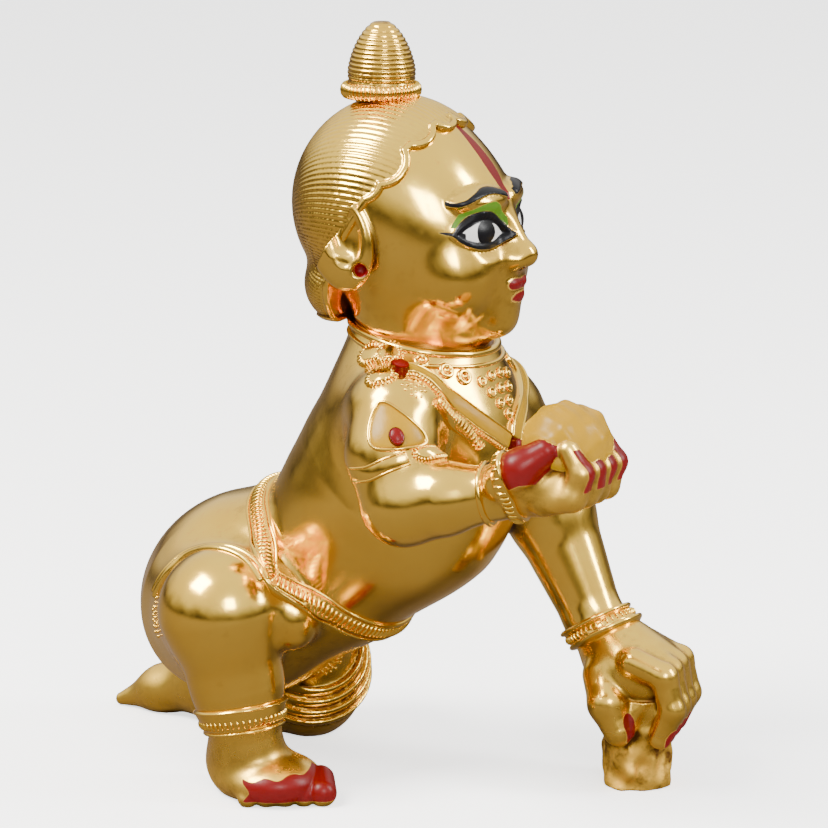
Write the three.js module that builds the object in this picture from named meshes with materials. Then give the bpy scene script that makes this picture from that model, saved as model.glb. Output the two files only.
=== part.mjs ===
// Laddu gopal: a crawling child cast in brass, about 99 mm tall, with a sweet ball in its raised right hand
// and its left fist on the stub of its casting. It faces along +X, its left is +Y and it stands on z = 0.
// The casting is one solid. Its form is a signed distance in millimetres (negative inside), put together from
// rounded limbs that melt into each other, and the surface where it is zero is walked into triangles.
import * as THREE from "three";

const metalColour = 0xd9ab52;
const castingName = "idol";

// Driving dimensions, in millimetres and degrees.
const torsoPitch = 43;
const hipPitch = 30;
const beltPitch = 45;
const crownHeight = 89.2;
const knotHeight = 98.7;
const bellyRadius = 13.9;
const chestRadii = [12.4, 14.0, 11.0];
const hipRadii = [14.8, 15.5, 13.6];
const skullRadii = [12.9, 12.9, 13.2];
const faceRadii = [9.8, 10.6, 11.8];
const ladduRadius = 5.6;
const stubRadius = 4.6;
const footTurn = -48;

// Places of the main joints of the body.
const hip = [-10.0, 0, 22.3];
const waist = [2.6, 0, 28.6];
const belly = [11.8, 0, 38.4];
const breast = [13.6, 0, 48.0];
const neckFoot = [15.0, 0, 50];
const skull = [11.2, 0, crownHeight - skullRadii[2]];
const face = [18.2, 0, 70.0];
const rightShoulder = [17.4, -13.4, 51.6];
const rightElbow = [20.8, -18.2, 41.6];
const rightWrist = [32.5, -17.0, 43.7];
const laddu = [41.0, -14.4, 50.4];
const leftShoulder = [19.8, 12.4, 46.0];
const leftElbow = [26.3, 15.0, 33.5];
const leftWrist = [33.2, 13.4, 20.6];
const stub = [41.0, 10.0, 0];
const rightKnee = [-5.2, -17.4, 24.4];
const rightAnkle = [-2.8, -16.0, 8.2];
const leftKnee = [-8.0, 12.4, 6.6];
const leftToe = [-36.8, 12.2, 0.9];

// How high the worked ornament stands over the skin.
const hairRelief = 0.45;
const clothRelief = 0.35;
const bandRelief = 0.5;
const beltRelief = 0.7;

// Fineness of the surface: the walk's cell, and the triangles kept where the form allows.
const cell = 0.85;
const trianglesKept = 9800;
const faceWeight = 5;
const handWeight = 2.5;
const floorSnap = 0.02;
const boxLow = [-42.3, -27.3, -1.27];
const boxHigh = [53.7, 24.7, 102];

const { abs, hypot, max, min, sqrt } = Math;
const clamp = (t, low, high) => max(low, min(high, t));
const toRadians = THREE.MathUtils.degToRad;
const smooth = (from, to, t) => {
  const s = clamp((t - from) / (to - from), 0, 1);
  return s * s * (3 - 2 * s);
};

// Local axes: forward is +X turned by yaw towards +Y and raised by pitch.
function axesOf(pitch = 0, yaw = 0) {
  const turn = new THREE.Matrix4().makeRotationZ(toRadians(yaw));
  turn.multiply(new THREE.Matrix4().makeRotationY(-toRadians(pitch)));
  return turn.elements;
}

// Each form below is a function of a point that gives its distance from the surface.
function ellipsoid([cx, cy, cz], [a, b, c], pitch, yaw) {
  const e = axesOf(pitch, yaw);
  return (x, y, z) => {
    const dx = x - cx, dy = y - cy, dz = z - cz;
    const u = (dx * e[0] + dy * e[1] + dz * e[2]) / a;
    const v = (dx * e[4] + dy * e[5] + dz * e[6]) / b;
    const w = (dx * e[8] + dy * e[9] + dz * e[10]) / c;
    const near = hypot(u, v, w);
    return (near * (near - 1)) / (hypot(u / a, v / b, w / c) + 1e-9);
  };
}

function cone([ax, ay, az], [bx, by, bz], ra, rb) {
  const ex = bx - ax, ey = by - ay, ez = bz - az;
  const length2 = ex * ex + ey * ey + ez * ez;
  return (x, y, z) => {
    const dx = x - ax, dy = y - ay, dz = z - az;
    const t = clamp((dx * ex + dy * ey + dz * ez) / length2, 0, 1);
    return hypot(dx - t * ex, dy - t * ey, dz - t * ez) - (ra + (rb - ra) * t);
  };
}

const meet = (a, b, k) => {
  const h = max(k - abs(a - b), 0) / k;
  return min(a, b) - h * h * k * 0.25;
};

const blend = (k, ...forms) => (x, y, z) =>
  forms.reduce((d, form) => meet(d, form(x, y, z), k), 1e3);

const join = (...forms) => (x, y, z) =>
  forms.reduce((d, form) => min(d, form(x, y, z)), 1e3);

const carve = (k, form, ...tools) => (x, y, z) =>
  tools.reduce((d, tool) => -meet(-d, tool(x, y, z), k), form(x, y, z));

function limb(points, radii, k) {
  const bones = points.slice(1).map((end, i) => cone(points[i], end, radii[i], radii[i + 1]));
  return blend(k, ...bones);
}

// Away from its ball a form is only roughly known, which is enough there and saves work.
const within = (centre, reach, form) => (x, y, z) => {
  const away = hypot(x - centre[0], y - centre[1], z - centre[2]) - reach;
  return away > 5 ? away : form(x, y, z);
};

// A torus about an upright axis.
const torus = (centre, radius, thickness) => (x, y, z) =>
  hypot(hypot(x - centre[0], y - centre[1]) - radius, z - centre[2]) - thickness;

const between = (a, b, t) => a.map((v, i) => v + (b[i] - v) * t);

function torso() {
  const core = limb([waist, belly, [15.6, 0, 43.2]], [12.2, bellyRadius, 13.2], 4);
  const chest = ellipsoid(breast, chestRadii, torsoPitch);
  const hips = ellipsoid(hip, hipRadii, hipPitch);
  const shoulders = limb([[16.6, -12.0, 51.5], [14.2, 0, 52.6], [17.6, 11.0, 48.0]], [5.6, 7.2, 6.2], 4);
  const neck = cone(neckFoot, [14.4, 0, 61], 10.0, 8.4);
  return blend(4, blend(5, blend(4, core, chest), hips, shoulders), neck);
}

function rightArm() {
  const bend = between(rightShoulder, rightElbow, 0.45);
  const upper = limb([rightShoulder, [bend[0] - 0.6, bend[1] - 0.8, bend[2]], rightElbow], [5.8, 5.6, 5.1], 2);
  const fore = limb([rightElbow, [26, -18.0, 42.6], rightWrist], [5.1, 4.6, 3.3], 1);
  return blend(2, upper, fore);
}

// The right hand lies open under the sweet ball, its fingers curled up the far side.
function rightHand() {
  const palm = ellipsoid([39.0, -15.5, 45.4], [7.4, 5.4, 3.6], 6);
  const heel = cone([32, -17, 43.7], [37, -15.8, 45.0], 3.2, 3.6);
  const fingers = [0, 1, 2, 3].map((i) => {
    const x = 45.0 - 0.35 * i;
    const y = -11.0 - 2.7 * i;
    const path = [[x - 4, y, 43.7], [x - 0.3, y - 0.2, 44.8], [x + 0.8, y, 47.8], [x - 0.9, y, 50.6]];
    return limb(path, [1.7, 1.7, 1.55, 1.3], 0.6);
  });
  const thumb = limb([[34.5, -19.3, 45.8], [37.3, -20.6, 48.1], [40.2, -19.4, 50.2]], [2.5, 2.4, 1.8], 0.8);
  const ball = ellipsoid(laddu, [ladduRadius, ladduRadius, ladduRadius - 0.7]);
  return join(blend(0.8, blend(2, heel, palm), ...fingers, thumb), ball);
}

function leftArm() {
  return limb([leftShoulder, leftElbow, leftWrist], [6.4, 5.7, 3.9], 1.5);
}

// The left hand is a fist closed over the stub that carries it.
function leftHand() {
  const wrist = cone(leftWrist, [36.5, 12.5, 17.2], 3.9, 4.2);
  const back = ellipsoid([40.5, 11.2, 15.0], [6.8, 6.0, 5.0], -18);
  const fingers = [0, 1, 2, 3].map((i) => {
    const x = 46.0 - 0.4 * i;
    const y = 6.2 + 2.9 * i;
    const path = [[x - 4.2, y, 17.2], [x, y, 15.8], [x + 1.2, y, 11.5], [x - 0.4, y, 7.6]];
    return limb(path, [1.9, 1.8, 1.7, 1.45], 0.6);
  });
  const thumb = limb([[37, 8.0, 14.5], [38.6, 5.4, 11.5], [40.2, 4.9, 8.2]], [2.8, 2.5, 1.9], 0.8);
  const post = (x, y, z) =>
    max(hypot(x - stub[0], y - stub[1]) - stubRadius - 0.04 * z, abs(z - 5) - 7);
  return blend(0.8, blend(0.8, blend(3, wrist, back), ...fingers, thumb), post);
}

function rightLeg() {
  const thigh = cone([-10, -8, 21.8], [rightKnee[0], rightKnee[1], rightKnee[2] + 0.2], 10.5, 7.8);
  const groin = ellipsoid([0.6, -12.6, 26.2], [5.6, 6.4, 7.0], -35);
  const shin = limb([rightKnee, [-3.6, -16.8, 15.0], rightAnkle], [7.8, 5.7, 4.6], 2);
  const heel = ellipsoid([-4.2, -14.2, 4.0], [5.0, 4.8, 4.9], 0, footTurn);
  const instep = ellipsoid([0.9, -15.4, 2.5], [6.4, 6.2, 3.3], 0, footTurn);
  const toes = [0, 1, 2, 3, 4].map((i) => {
    const along = 4.9 - 2.4 * i;
    const x = 3.4 + 0.88 * along;
    const y = -17.4 + 0.47 * along;
    const radius = i === 0 ? 1.75 : 1.5 - 0.08 * i;
    return cone([x - 1.6, y + 2.6, 2.4], [x, y, radius - 0.25], radius, radius);
  });
  const leg = blend(1.2, blend(2, thigh, shin), groin);
  return blend(0.7, blend(2.5, leg, blend(3, heel, instep)), ...toes);
}

function leftLeg() {
  const thigh = limb([[-9, 8, 21.5], [-8, 12.4, 10.5]], [10.5, 7.4], 2);
  const shin = limb([leftKnee, [-22, 12.8, 5.8], [-31.2, 12.5, 3.8], leftToe], [7.3, 5.6, 4.0, 1.0], 2);
  return blend(3, thigh, shin);
}

// The face: a calm child's face to common proportions, with the eyes midway between chin and crown.
function features() {
  const halves = (at, radii, pitch, yaw) =>
    [1, -1].map((side) => ellipsoid([at[0], at[1] * side, at[2]], radii, pitch, yaw * side));
  const cheeks = halves([22.6, 5.6, 67.4], [4.2, 4.0, 4.0], 0, 20);
  const chin = ellipsoid([25.6, 0, 61.9], [2.6, 3.0, 2.3], 0, 0);
  const bridge = cone([27.0, 0, 74.6], [29.9, 0, 69.6], 1.2, 1.45);
  const wings = halves([28.7, 1.5, 68.9], [1.5, 1.1, 1.1], 0, 0);
  const upperLip = halves([27.9, 1.3, 65.7], [1.5, 2.2, 0.75], 0, 28);
  const lowerLip = ellipsoid([27.7, 0, 64.4], [1.5, 2.1, 0.85], 0, 0);
  const sockets = halves([28.2, 4.9, 73.6], [3.4, 4.0, 2.7], 0, 24);
  const eyes = halves([24.3, 4.7, 73.3], [2.7, 3.2, 1.7], 0, 26);
  const brows = halves([24.6, 4.9, 77.0], [2.0, 4.2, 0.7], -12, 24);
  return { soft: [...cheeks, chin], crisp: [bridge, ...wings, ...upperLip, lowerLip, ...eyes, ...brows], sockets };
}

function ears() {
  return [-1, 1].map((side) => {
    const shell = ellipsoid([9.6, side * 13.1, 72.8], [4.4, 1.7, 6.4], 14);
    const bowl = ellipsoid([10.4, side * 14.8, 74.0], [2.4, 1.7, 4.0], 14);
    const bore = ellipsoid([12.6, side * 14.4, 69.4], [0.95, 1.6, 0.95]);
    return within([9.6, side * 13.1, 72.8], 8, carve(0.5, shell, bowl, bore));
  });
}

// Height of the scalloped hairline over the point's heading, three lobes to each temple.
function hairline(x, y) {
  const heading = abs(Math.atan2(y, x - skull[0]));
  const fall = 8.6 * smooth(0.25, 1.75, heading) + 16 * smooth(1.75, 2.3, heading);
  const lobes = 0.8 * abs(Math.sin(heading * 3.4)) * (1 - smooth(1.5, 1.8, heading));
  return crownHeight - 2.6 - fall - lobes;
}

function head() {
  const parts = features();
  const bare = blend(5, ellipsoid(skull, skullRadii), ellipsoid(face, faceRadii, -2));
  const dressed = (x, y, z) => {
    const over = z - hairline(x, y);
    const cap = hairRelief * smooth(-0.5, 0.4, over);
    const rim = 0.25 * (1 - smooth(0.3, 0.9, abs(over - 0.5)));
    return bare(x, y, z) - cap - rim;
  };
  const roll = ellipsoid([6.0, 0, 66.2], [5.6, 9.5, 6.2], -35);
  const neck = cone([14.6, 0, 56], [14.0, 0, 64], 8.6, 8.2);
  const shaped = carve(1.4, blend(2, dressed, ...parts.soft), ...parts.sockets);
  const whole = blend(0.7, blend(3, blend(1.2, shaped, roll), neck), ...parts.crisp, ...ears());
  return within([14, 0, 74], 22, whole);
}

// The topknot: a bullet of coiled hair over a knurled ring.
function topknot() {
  const centre = [9.1, 0, 92.6];
  const rise = knotHeight - centre[2];
  const bullet = (x, y, z) => {
    const t = clamp((z - centre[2]) / rise, -0.3, 1);
    const profile = 4.35 * sqrt(max(1 - 0.92 * t * t, 0)) * (1 - 0.18 * max(t, 0));
    const radius = hypot(x - centre[0], y - centre[1]);
    return 0.8 * max(radius - profile, abs(z - centre[2] - rise / 2 + 0.9) - rise / 2 - 0.9);
  };
  const stem = cone([9.0, 0, 88], [9.0, 0, 92], 3.2, 3.2);
  const band = torus([9.0, 0, 90.1], 3.75, 1.15);
  return within([9, 0, 93], 9, join(bullet, stem, band));
}

// Relief: how far the surface stands out at a point. A hoop runs round a limb, a strip follows a path over the skin.
function hoop(centre, pitch, yaw, reach, halfWidth, height) {
  const e = axesOf(pitch, yaw);
  return (x, y, z) => {
    const dx = x - centre[0], dy = y - centre[1], dz = z - centre[2];
    if (hypot(dx, dy, dz) > reach) return 0;
    return height * (1 - smooth(halfWidth - 0.3, halfWidth + 0.3, abs(dx * e[0] + dy * e[1] + dz * e[2])));
  };
}

function strip(path, halfWidth, height) {
  const middle = path[Math.floor(path.length / 2)];
  const reach = max(...path.map((p) => hypot(...minus(p, middle)))) + 2;
  const line = limb(path, path.map(() => 0), 0.01);
  return (x, y, z) => {
    if (hypot(x - middle[0], y - middle[1], z - middle[2]) > reach) return 0;
    return height * (1 - smooth(halfWidth - 0.3, halfWidth + 0.3, line(x, y, z)));
  };
}

const spot = (at, radius, height) => strip([at, [at[0], at[1], at[2] + 0.01]], radius, height);

// Rings cast round the neck, both wrists, the right arm and the right ankle.
function hoops() {
  const armlet = hoop([18.9, -16.9, 45.6], -62, -40, 8.5, 0.75, 0.35);
  const wristRing = hoop([31.6, -17.1, 43.6], 10, 7, 6, 0.4, 0.5);
  const wristKnurl = hoop([34.9, -16.6, 44.6], 12, 10, 6, 0.8, 0.7);
  const bangle = hoop([34.2, 13.2, 19.3], -60, -12, 7.5, 1.35, 0.8);
  const anklet = hoop([-3.2, -16.1, 10.6], -78, -20, 8, 1.7, bandRelief);
  const collar = hoop([15.3, 0, 59.2], 80, 180, 13, 0.5, 0.55);
  const chain = hoop([16.0, 0, 57.2], 76, 180, 13, 0.5, 0.4);
  return [armlet, wristRing, wristKnurl, bangle, anklet, collar, chain];
}

// A garland hangs in a V from both shoulders to a pendant on the breast, and a leaf lies over the right arm.
function garland() {
  const right = [[18.2, -13.8, 57.2], [19.8, -12.7, 57.1], [22.4, -11.1, 54.7], [24.3, -8.5, 51.9], [26.2, -6.2, 49.6],
    [28.2, -1.2, 46.6]];
  const left = right.map(([x, y, z], i) => [x, -y - 2.4 * (i / 5), z - 0.6 * (5 - i)]);
  const bosses = [spot([18.3, -14.5, 57.3], 1.3, 0.9), spot([18.3, 14.5, 54.3], 1.3, 0.9)];
  const curls = [[12.4, -10.2, 58.4], [15.1, -10.1, 59.1], [16.9, -16.2, 56.7]].map((at) => spot(at, 1.9, 0.5));
  const leaf = strip([[17.8, -18.7, 54.0], [19.5, -20.0, 51.6], [21.3, -20.5, 50.1]], 1.7, 0.4);
  return [strip(right, 0.9, 0.6), strip(left, 0.9, 0.6), spot([28.3, -1.8, 46.4], 1.4, 1.2), ...bosses, ...curls, leaf];
}

// Cloth over the hips, raised from the skin, with a belt, hems over the right thigh and folds at the left knee.
function cloth(x, y, z) {
  const belt = toRadians(beltPitch);
  const along = x * Math.cos(belt) + z * Math.sin(belt) - 21.8;
  if (along > 3) return 0;
  const onBody = smooth(-24, -21, x) * smooth(8, 10, z);
  const knee = hypot(x - rightKnee[0], z - rightKnee[2] + 0.2);
  const right = smooth(8.2, 8.7, knee) + smooth(-9, -7, y);
  const strip = 1 - smooth(0.9, 1.4, abs(along));
  const rims = 1 - smooth(0.25, 0.6, abs(abs(along) - 1.8));
  const hems = (1 - smooth(0.3, 0.7, abs(abs(knee - 9.5) - 0.75))) * smooth(-11, -13, y) * smooth(22, 25, z);
  const fold = hypot(x + 5, y - 8, z - 14.5);
  const folds = (1 + Math.cos((fold - 7.3) * 4.4)) * 0.5 * smooth(6.4, 7.0, fold) * (1 - smooth(12.2, 12.8, fold));
  const atKnee = folds * smooth(3, 6, y) * smooth(-14, -10, x) * (1 - smooth(12, 15, z));
  const sheet = clothRelief * (1 - smooth(-0.4, 0.2, along)) * min(right, 1) * onBody;
  const worn = beltRelief * strip * smooth(-9, -7, x) + 0.35 * rims;
  return sheet + worn * smooth(-16, -14, x) + 0.5 * hems + 0.75 * atKnee;
}

// The whole casting, cut off flat where it stands.
function casting() {
  const ornament = [...hoops(), ...garland()];
  const relief = (x, y, z) => ornament.reduce((most, part) => max(most, part(x, y, z)), 0);
  const trunk = blend(3, torso(), leftArm());
  const legs = blend(3, blend(2, trunk, rightLeg()), leftLeg());
  const body = blend(1.6, (x, y, z) => legs(x, y, z) - cloth(x, y, z), rightArm());
  const hands = [within([39, -16, 47], 12, rightHand()), within([40, 10, 11], 16, leftHand())];
  const solid = join(blend(0.9, body, ...hands, head()), topknot());
  return (x, y, z) => max(solid(x, y, z) - relief(x, y, z), -z);
}

// Six tetrahedra fill a cell, and each shares its faces with the next cell's.
const cornerSteps = [0, 1, 2, 3, 4, 5, 6, 7].map((c) => [c & 1, (c >> 1) & 1, (c >> 2) & 1]);
const tetrahedra = [[0, 1, 3, 7], [0, 3, 2, 7], [0, 2, 6, 7], [0, 6, 4, 7], [0, 4, 5, 7], [0, 5, 1, 7]];

// Walks the zero surface of a form in a box and gives its points and triangles.
function surfaceOf(form, low, high) {
  const count = low.map((v, axis) => Math.ceil((high[axis] - v) / cell) + 1);
  const value = new Float64Array(count[0] * count[1] * count[2]).fill(NaN);
  const indexOf = (i, j, k) => i + count[0] * (j + count[1] * k);
  const placeOf = (corner) => [
    low[0] + cell * (corner % count[0]),
    low[1] + cell * (Math.floor(corner / count[0]) % count[1]),
    low[2] + cell * Math.floor(corner / (count[0] * count[1])),
  ];
  const valueAt = (corner) => {
    if (Number.isNaN(value[corner])) value[corner] = form(...placeOf(corner)) || 1e-9;
    return value[corner];
  };
  const points = [];
  const triangles = [];
  const made = new Map();
  const crossing = (a, b) => {
    const key = a < b ? a * 1e7 + b : b * 1e7 + a;
    if (!made.has(key)) {
      const t = clamp(valueAt(a) / (valueAt(a) - valueAt(b)), 0.03, 0.97);
      made.set(key, points.push(between(placeOf(a), placeOf(b), t)) - 1);
    }
    return made.get(key);
  };
  const cross = ([a, b, c, d]) => {
    const inside = [a, b, c, d].filter((corner) => valueAt(corner) < 0);
    const outside = [a, b, c, d].filter((corner) => valueAt(corner) >= 0);
    if (!inside.length || !outside.length) return;
    const lone = inside.length === 1 ? inside : outside;
    const rest = inside.length === 1 ? outside : inside;
    const faces = inside.length === 2
      ? [[crossing(inside[0], outside[0]), crossing(inside[0], outside[1]), crossing(inside[1], outside[1])],
        [crossing(inside[0], outside[0]), crossing(inside[1], outside[1]), crossing(inside[1], outside[0])]]
      : [rest.map((corner) => crossing(lone[0], corner))];
    for (const face of faces) triangles.push(facing(face, points, placeOf(inside[0])));
  };
  const step = 8;
  const spread = cell * step * 0.5 * sqrt(3) * 1.5;
  for (let k = 0; k < count[2] - 1; k += step) {
    for (let j = 0; j < count[1] - 1; j += step) {
      for (let i = 0; i < count[0] - 1; i += step) {
        const centre = [i, j, k].map((n, axis) => low[axis] + cell * (n + step / 2));
        if (abs(form(...centre)) < spread) walkBlock(i, j, k);
      }
    }
  }
  return { points, triangles };

  function walkBlock(i0, j0, k0) {
    for (let k = k0; k < min(k0 + step, count[2] - 1); k++) {
      for (let j = j0; j < min(j0 + step, count[1] - 1); j++) {
        for (let i = i0; i < min(i0 + step, count[0] - 1); i++) {
          const corners = cornerSteps.map(([a, b, c]) => indexOf(i + a, j + b, k + c));
          const negatives = corners.filter((corner) => valueAt(corner) < 0).length;
          if (negatives > 0 && negatives < 8) tetrahedra.forEach((four) => cross(four.map((n) => corners[n])));
        }
      }
    }
  }
}

// Orders a triangle so that it faces away from a point inside.
function facing([a, b, c], points, insidePoint) {
  const [p, q, r] = [a, b, c].map((n) => new THREE.Vector3(...points[n]));
  const normal = q.sub(p).cross(r.sub(p));
  return normal.dot(p.sub(new THREE.Vector3(...insidePoint))) > 0 ? [a, b, c] : [a, c, b];
}

// A heap that gives back the item of least cost.
class Heap {
  items = [];
  push(item) {
    const { items } = this;
    let n = items.push(item) - 1;
    while (n > 0 && items[(n - 1) >> 1].cost > item.cost) {
      items[n] = items[(n - 1) >> 1];
      n = (n - 1) >> 1;
    }
    items[n] = item;
  }
  pop() {
    const { items } = this;
    const least = items[0];
    const last = items.pop();
    let n = 0;
    while (items.length) {
      let child = 2 * n + 1;
      if (child + 1 < items.length && items[child + 1].cost < items[child].cost) child++;
      if (child >= items.length || items[child].cost >= last.cost) break;
      items[n] = items[child];
      n = child;
    }
    if (items.length) items[n] = last;
    return least;
  }
}

const minus = (p, q) => [p[0] - q[0], p[1] - q[1], p[2] - q[2]];
const dot = (p, q) => p[0] * q[0] + p[1] * q[1] + p[2] * q[2];
const normalOf = (p, q, r) => {
  const [u, v] = [minus(q, p), minus(r, p)];
  return [u[1] * v[2] - u[2] * v[1], u[2] * v[0] - u[0] * v[2], u[0] * v[1] - u[1] * v[0]];
};

// The squared distance to a plane n.p + d = 0, as the ten numbers of its quadratic form.
const planeForm = ([a, b, c], d, w) =>
  [a * a, a * b, a * c, a * d, b * b, b * c, b * d, c * c, c * d, d * d].map((v) => v * w);

const formAt = (q, [x, y, z]) =>
  q[0] * x * x + 2 * q[1] * x * y + 2 * q[2] * x * z + 2 * q[3] * x + q[4] * y * y + 2 * q[5] * y * z
  + 2 * q[6] * y + q[7] * z * z + 2 * q[8] * z + q[9];

// The point where a quadratic form is least, held weakly to a middle point so that flat places have one too.
function leastOf(q, middle) {
  const hold = 1e-3 * (q[0] + q[4] + q[7]) + 1e-12;
  const m = new THREE.Matrix3(q[0] + hold, q[1], q[2], q[1], q[4] + hold, q[5], q[2], q[5], q[7] + hold);
  const right = new THREE.Vector3(hold * middle[0] - q[3], hold * middle[1] - q[6], hold * middle[2] - q[8]);
  return right.applyMatrix3(m.invert()).toArray();
}

// Twice a triangle's area over its longest side squared: near nothing for a sliver.
function slimness([p, q, r], normal) {
  const sides = [minus(q, p), minus(r, q), minus(p, r)];
  return sqrt(dot(normal, normal)) / max(...sides.map((side) => dot(side, side)));
}

// Closes the edges that carry least of the form until about the wanted number of triangles is left.
function simplified({ points, triangles }, kept, weightAt) {
  const faces = triangles.map((face) => [...face]);
  const around = points.map(() => new Set());
  const quadrics = points.map(() => new Array(10).fill(0));
  const stamps = new Uint32Array(points.length);
  faces.forEach((face, n) => {
    const normal = normalOf(...face.map((p) => points[p]));
    const size = Math.sqrt(dot(normal, normal)) + 1e-12;
    const unit = normal.map((v) => v / size);
    const plane = planeForm(unit, -dot(unit, points[face[0]]), size);
    for (const p of face) {
      around[p].add(n);
      plane.forEach((v, i) => (quadrics[p][i] += v));
    }
  });
  const neighbours = (p) => new Set([...around[p]].flatMap((n) => faces[n]).filter((q) => q !== p));
  const heap = new Heap();
  const offer = (a, b) => {
    const quadric = quadrics[a].map((v, i) => v + quadrics[b][i]);
    const middle = between(points[a], points[b], 0.5);
    const place = leastOf(quadric, middle);
    place[2] = min(points[a][2], points[b][2]) < floorSnap ? 0 : max(place[2], 0);
    const span = minus(points[a], points[b]);
    const cost = (formAt(quadric, place) + 1e-6 * dot(span, span)) * weightAt(...middle);
    heap.push({ cost, a, b, place, stamp: stamps[a] + stamps[b] * 65536 });
  };
  const turnsOver = (p, other, place) => [...around[p]].some((n) => {
    if (faces[n].includes(other)) return false;
    const old = faces[n].map((q) => points[q]);
    const moved = faces[n].map((q) => (q === p ? place : points[q]));
    const [before, after] = [normalOf(...old), normalOf(...moved)];
    const agree = dot(before, after) / (sqrt(dot(before, before) * dot(after, after)) + 1e-12);
    return agree < 0.2 || (slimness(moved, after) < 0.05 && slimness(moved, after) < slimness(old, before));
  });
  points.forEach((_, a) => neighbours(a).forEach((b) => a < b && offer(a, b)));
  let left = faces.length;
  while (left > kept && heap.items.length) {
    const { a, b, place, stamp } = heap.pop();
    if (stamp !== stamps[a] + stamps[b] * 65536 || !around[a].size || !around[b].size) continue;
    const ring = neighbours(b);
    const shared = [...neighbours(a)].filter((p) => ring.has(p));
    if (shared.length !== 2 || turnsOver(a, b, place) || turnsOver(b, a, place)) continue;
    points[a] = place;
    quadrics[a] = quadrics[a].map((v, i) => v + quadrics[b][i]);
    for (const n of around[b]) {
      if (faces[n].includes(a)) {
        faces[n].forEach((p) => around[p].delete(n));
        faces[n] = null;
        left--;
      } else {
        faces[n] = faces[n].map((p) => (p === b ? a : p));
        around[a].add(n);
      }
    }
    around[b].clear();
    stamps[a]++;
    stamps[b]++;
    neighbours(a).forEach((p) => offer(a, p));
  }
  return { points, triangles: faces.filter((face) => face) };
}

// The face and the hands keep more of their triangles than the plain skin.
function weightAt(x, y, z) {
  if (hypot(x - 26, y, z - 70) < 13) return faceWeight;
  const atHand = hypot(x - laddu[0], y - laddu[1], z - laddu[2] + 4) < 10 || hypot(x - 42, y - 9, z - 12) < 11;
  return atHand ? handWeight : 1;
}

// The solid, with its origin on the floor under the middle of its box.
function solidMesh({ points, triangles }) {
  const indexed = new THREE.BufferGeometry();
  const places = points.flatMap(([x, y, z]) => [x, y, z < floorSnap ? 0 : z]);
  indexed.setAttribute("position", new THREE.Float32BufferAttribute(places, 3));
  indexed.setIndex(triangles.flat());
  const geometry = indexed.toNonIndexed();
  geometry.computeBoundingBox();
  const { min: low, max: high } = geometry.boundingBox;
  geometry.translate(-(low.x + high.x) / 2, -(low.y + high.y) / 2, 0);
  geometry.computeVertexNormals();
  const brass = new THREE.MeshStandardMaterial({ color: metalColour, roughness: 0.25, metalness: 1 });
  const mesh = new THREE.Mesh(geometry, brass);
  mesh.name = castingName;
  return mesh;
}

const part = new THREE.Group();
part.add(solidMesh(simplified(surfaceOf(casting(), boxLow, boxHigh), trianglesKept, weightAt)));

export default part;
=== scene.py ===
# Laddu gopal: a crawling child cast in brass, with enamel paint on the face, garland, hands and foot.
# Sizes are in millimetres, in the caster's own frame, until a mesh is made: then metres, in the row frame.
import math
import time
import bpy
import numpy as np
from mathutils import Matrix


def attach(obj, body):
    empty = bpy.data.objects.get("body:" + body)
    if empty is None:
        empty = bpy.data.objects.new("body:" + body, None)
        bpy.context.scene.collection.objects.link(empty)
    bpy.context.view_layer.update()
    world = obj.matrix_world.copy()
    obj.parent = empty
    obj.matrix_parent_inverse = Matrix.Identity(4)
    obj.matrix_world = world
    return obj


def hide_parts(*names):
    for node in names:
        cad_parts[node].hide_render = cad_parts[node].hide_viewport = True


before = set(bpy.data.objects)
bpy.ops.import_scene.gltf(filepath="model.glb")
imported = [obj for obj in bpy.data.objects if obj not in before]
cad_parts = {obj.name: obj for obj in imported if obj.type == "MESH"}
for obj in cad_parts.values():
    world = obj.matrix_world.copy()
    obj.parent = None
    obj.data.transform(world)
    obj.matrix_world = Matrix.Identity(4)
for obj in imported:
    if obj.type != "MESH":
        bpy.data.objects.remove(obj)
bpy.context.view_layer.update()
startTime = time.time()

casterShift = np.array((5.731, -2.271, 0.0))  # from the caster's frame to the row frame
single = np.float32


def report(words):
    print(f"{time.time() - startTime:6.1f} s  {words}")


def inRow(points):
    return (np.asarray(points, float) - casterShift) / 1000


# Camera and stage
view = {
    "target": (13.6, 0.0, 48.5),
    "azimuth": 25.0,
    "elevation": 12.5,
    "distance": 500.0,
    "pixelsPerMm": 7.8,  # at the target
    "imageSize": 828,
    "sensor": 36.0,
}


def aim(thing, place, target):
    back = np.asarray(place, float) - np.asarray(target, float)
    back /= np.linalg.norm(back)
    right = np.cross((0, 0, 1), back)
    right /= np.linalg.norm(right)
    turn = np.eye(4)
    turn[:3, 0], turn[:3, 1], turn[:3, 2], turn[:3, 3] = right, np.cross(back, right), back, place
    thing.matrix_world = Matrix(turn.tolist())


def direction(azimuth, elevation):
    a, e = math.radians(azimuth), math.radians(elevation)
    return np.array((math.sin(a) * math.cos(e), -math.cos(a) * math.cos(e), math.sin(e)))


def link(name, data):
    thing = bpy.data.objects.new(name, data)
    bpy.context.scene.collection.objects.link(thing)
    return thing


def addCamera():
    target = inRow(view["target"])
    camera = bpy.data.cameras.new("camera")
    camera.sensor_width = view["sensor"]
    camera.lens = view["sensor"] * view["distance"] * view["pixelsPerMm"] / view["imageSize"]
    camera.clip_start = 0.01
    camera.clip_end = 20
    seen = link("camera", camera)
    aim(seen, target + direction(view["azimuth"], view["elevation"]) * view["distance"] / 1000, target)
    bpy.context.scene.camera = seen


# Distance forms: each is a function of x, y and z arrays that gives the distance from its surface
def smooth(start, end, t):
    s = np.clip((t - start) / (end - start), 0, 1)
    return s * s * (3 - 2 * s)


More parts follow.
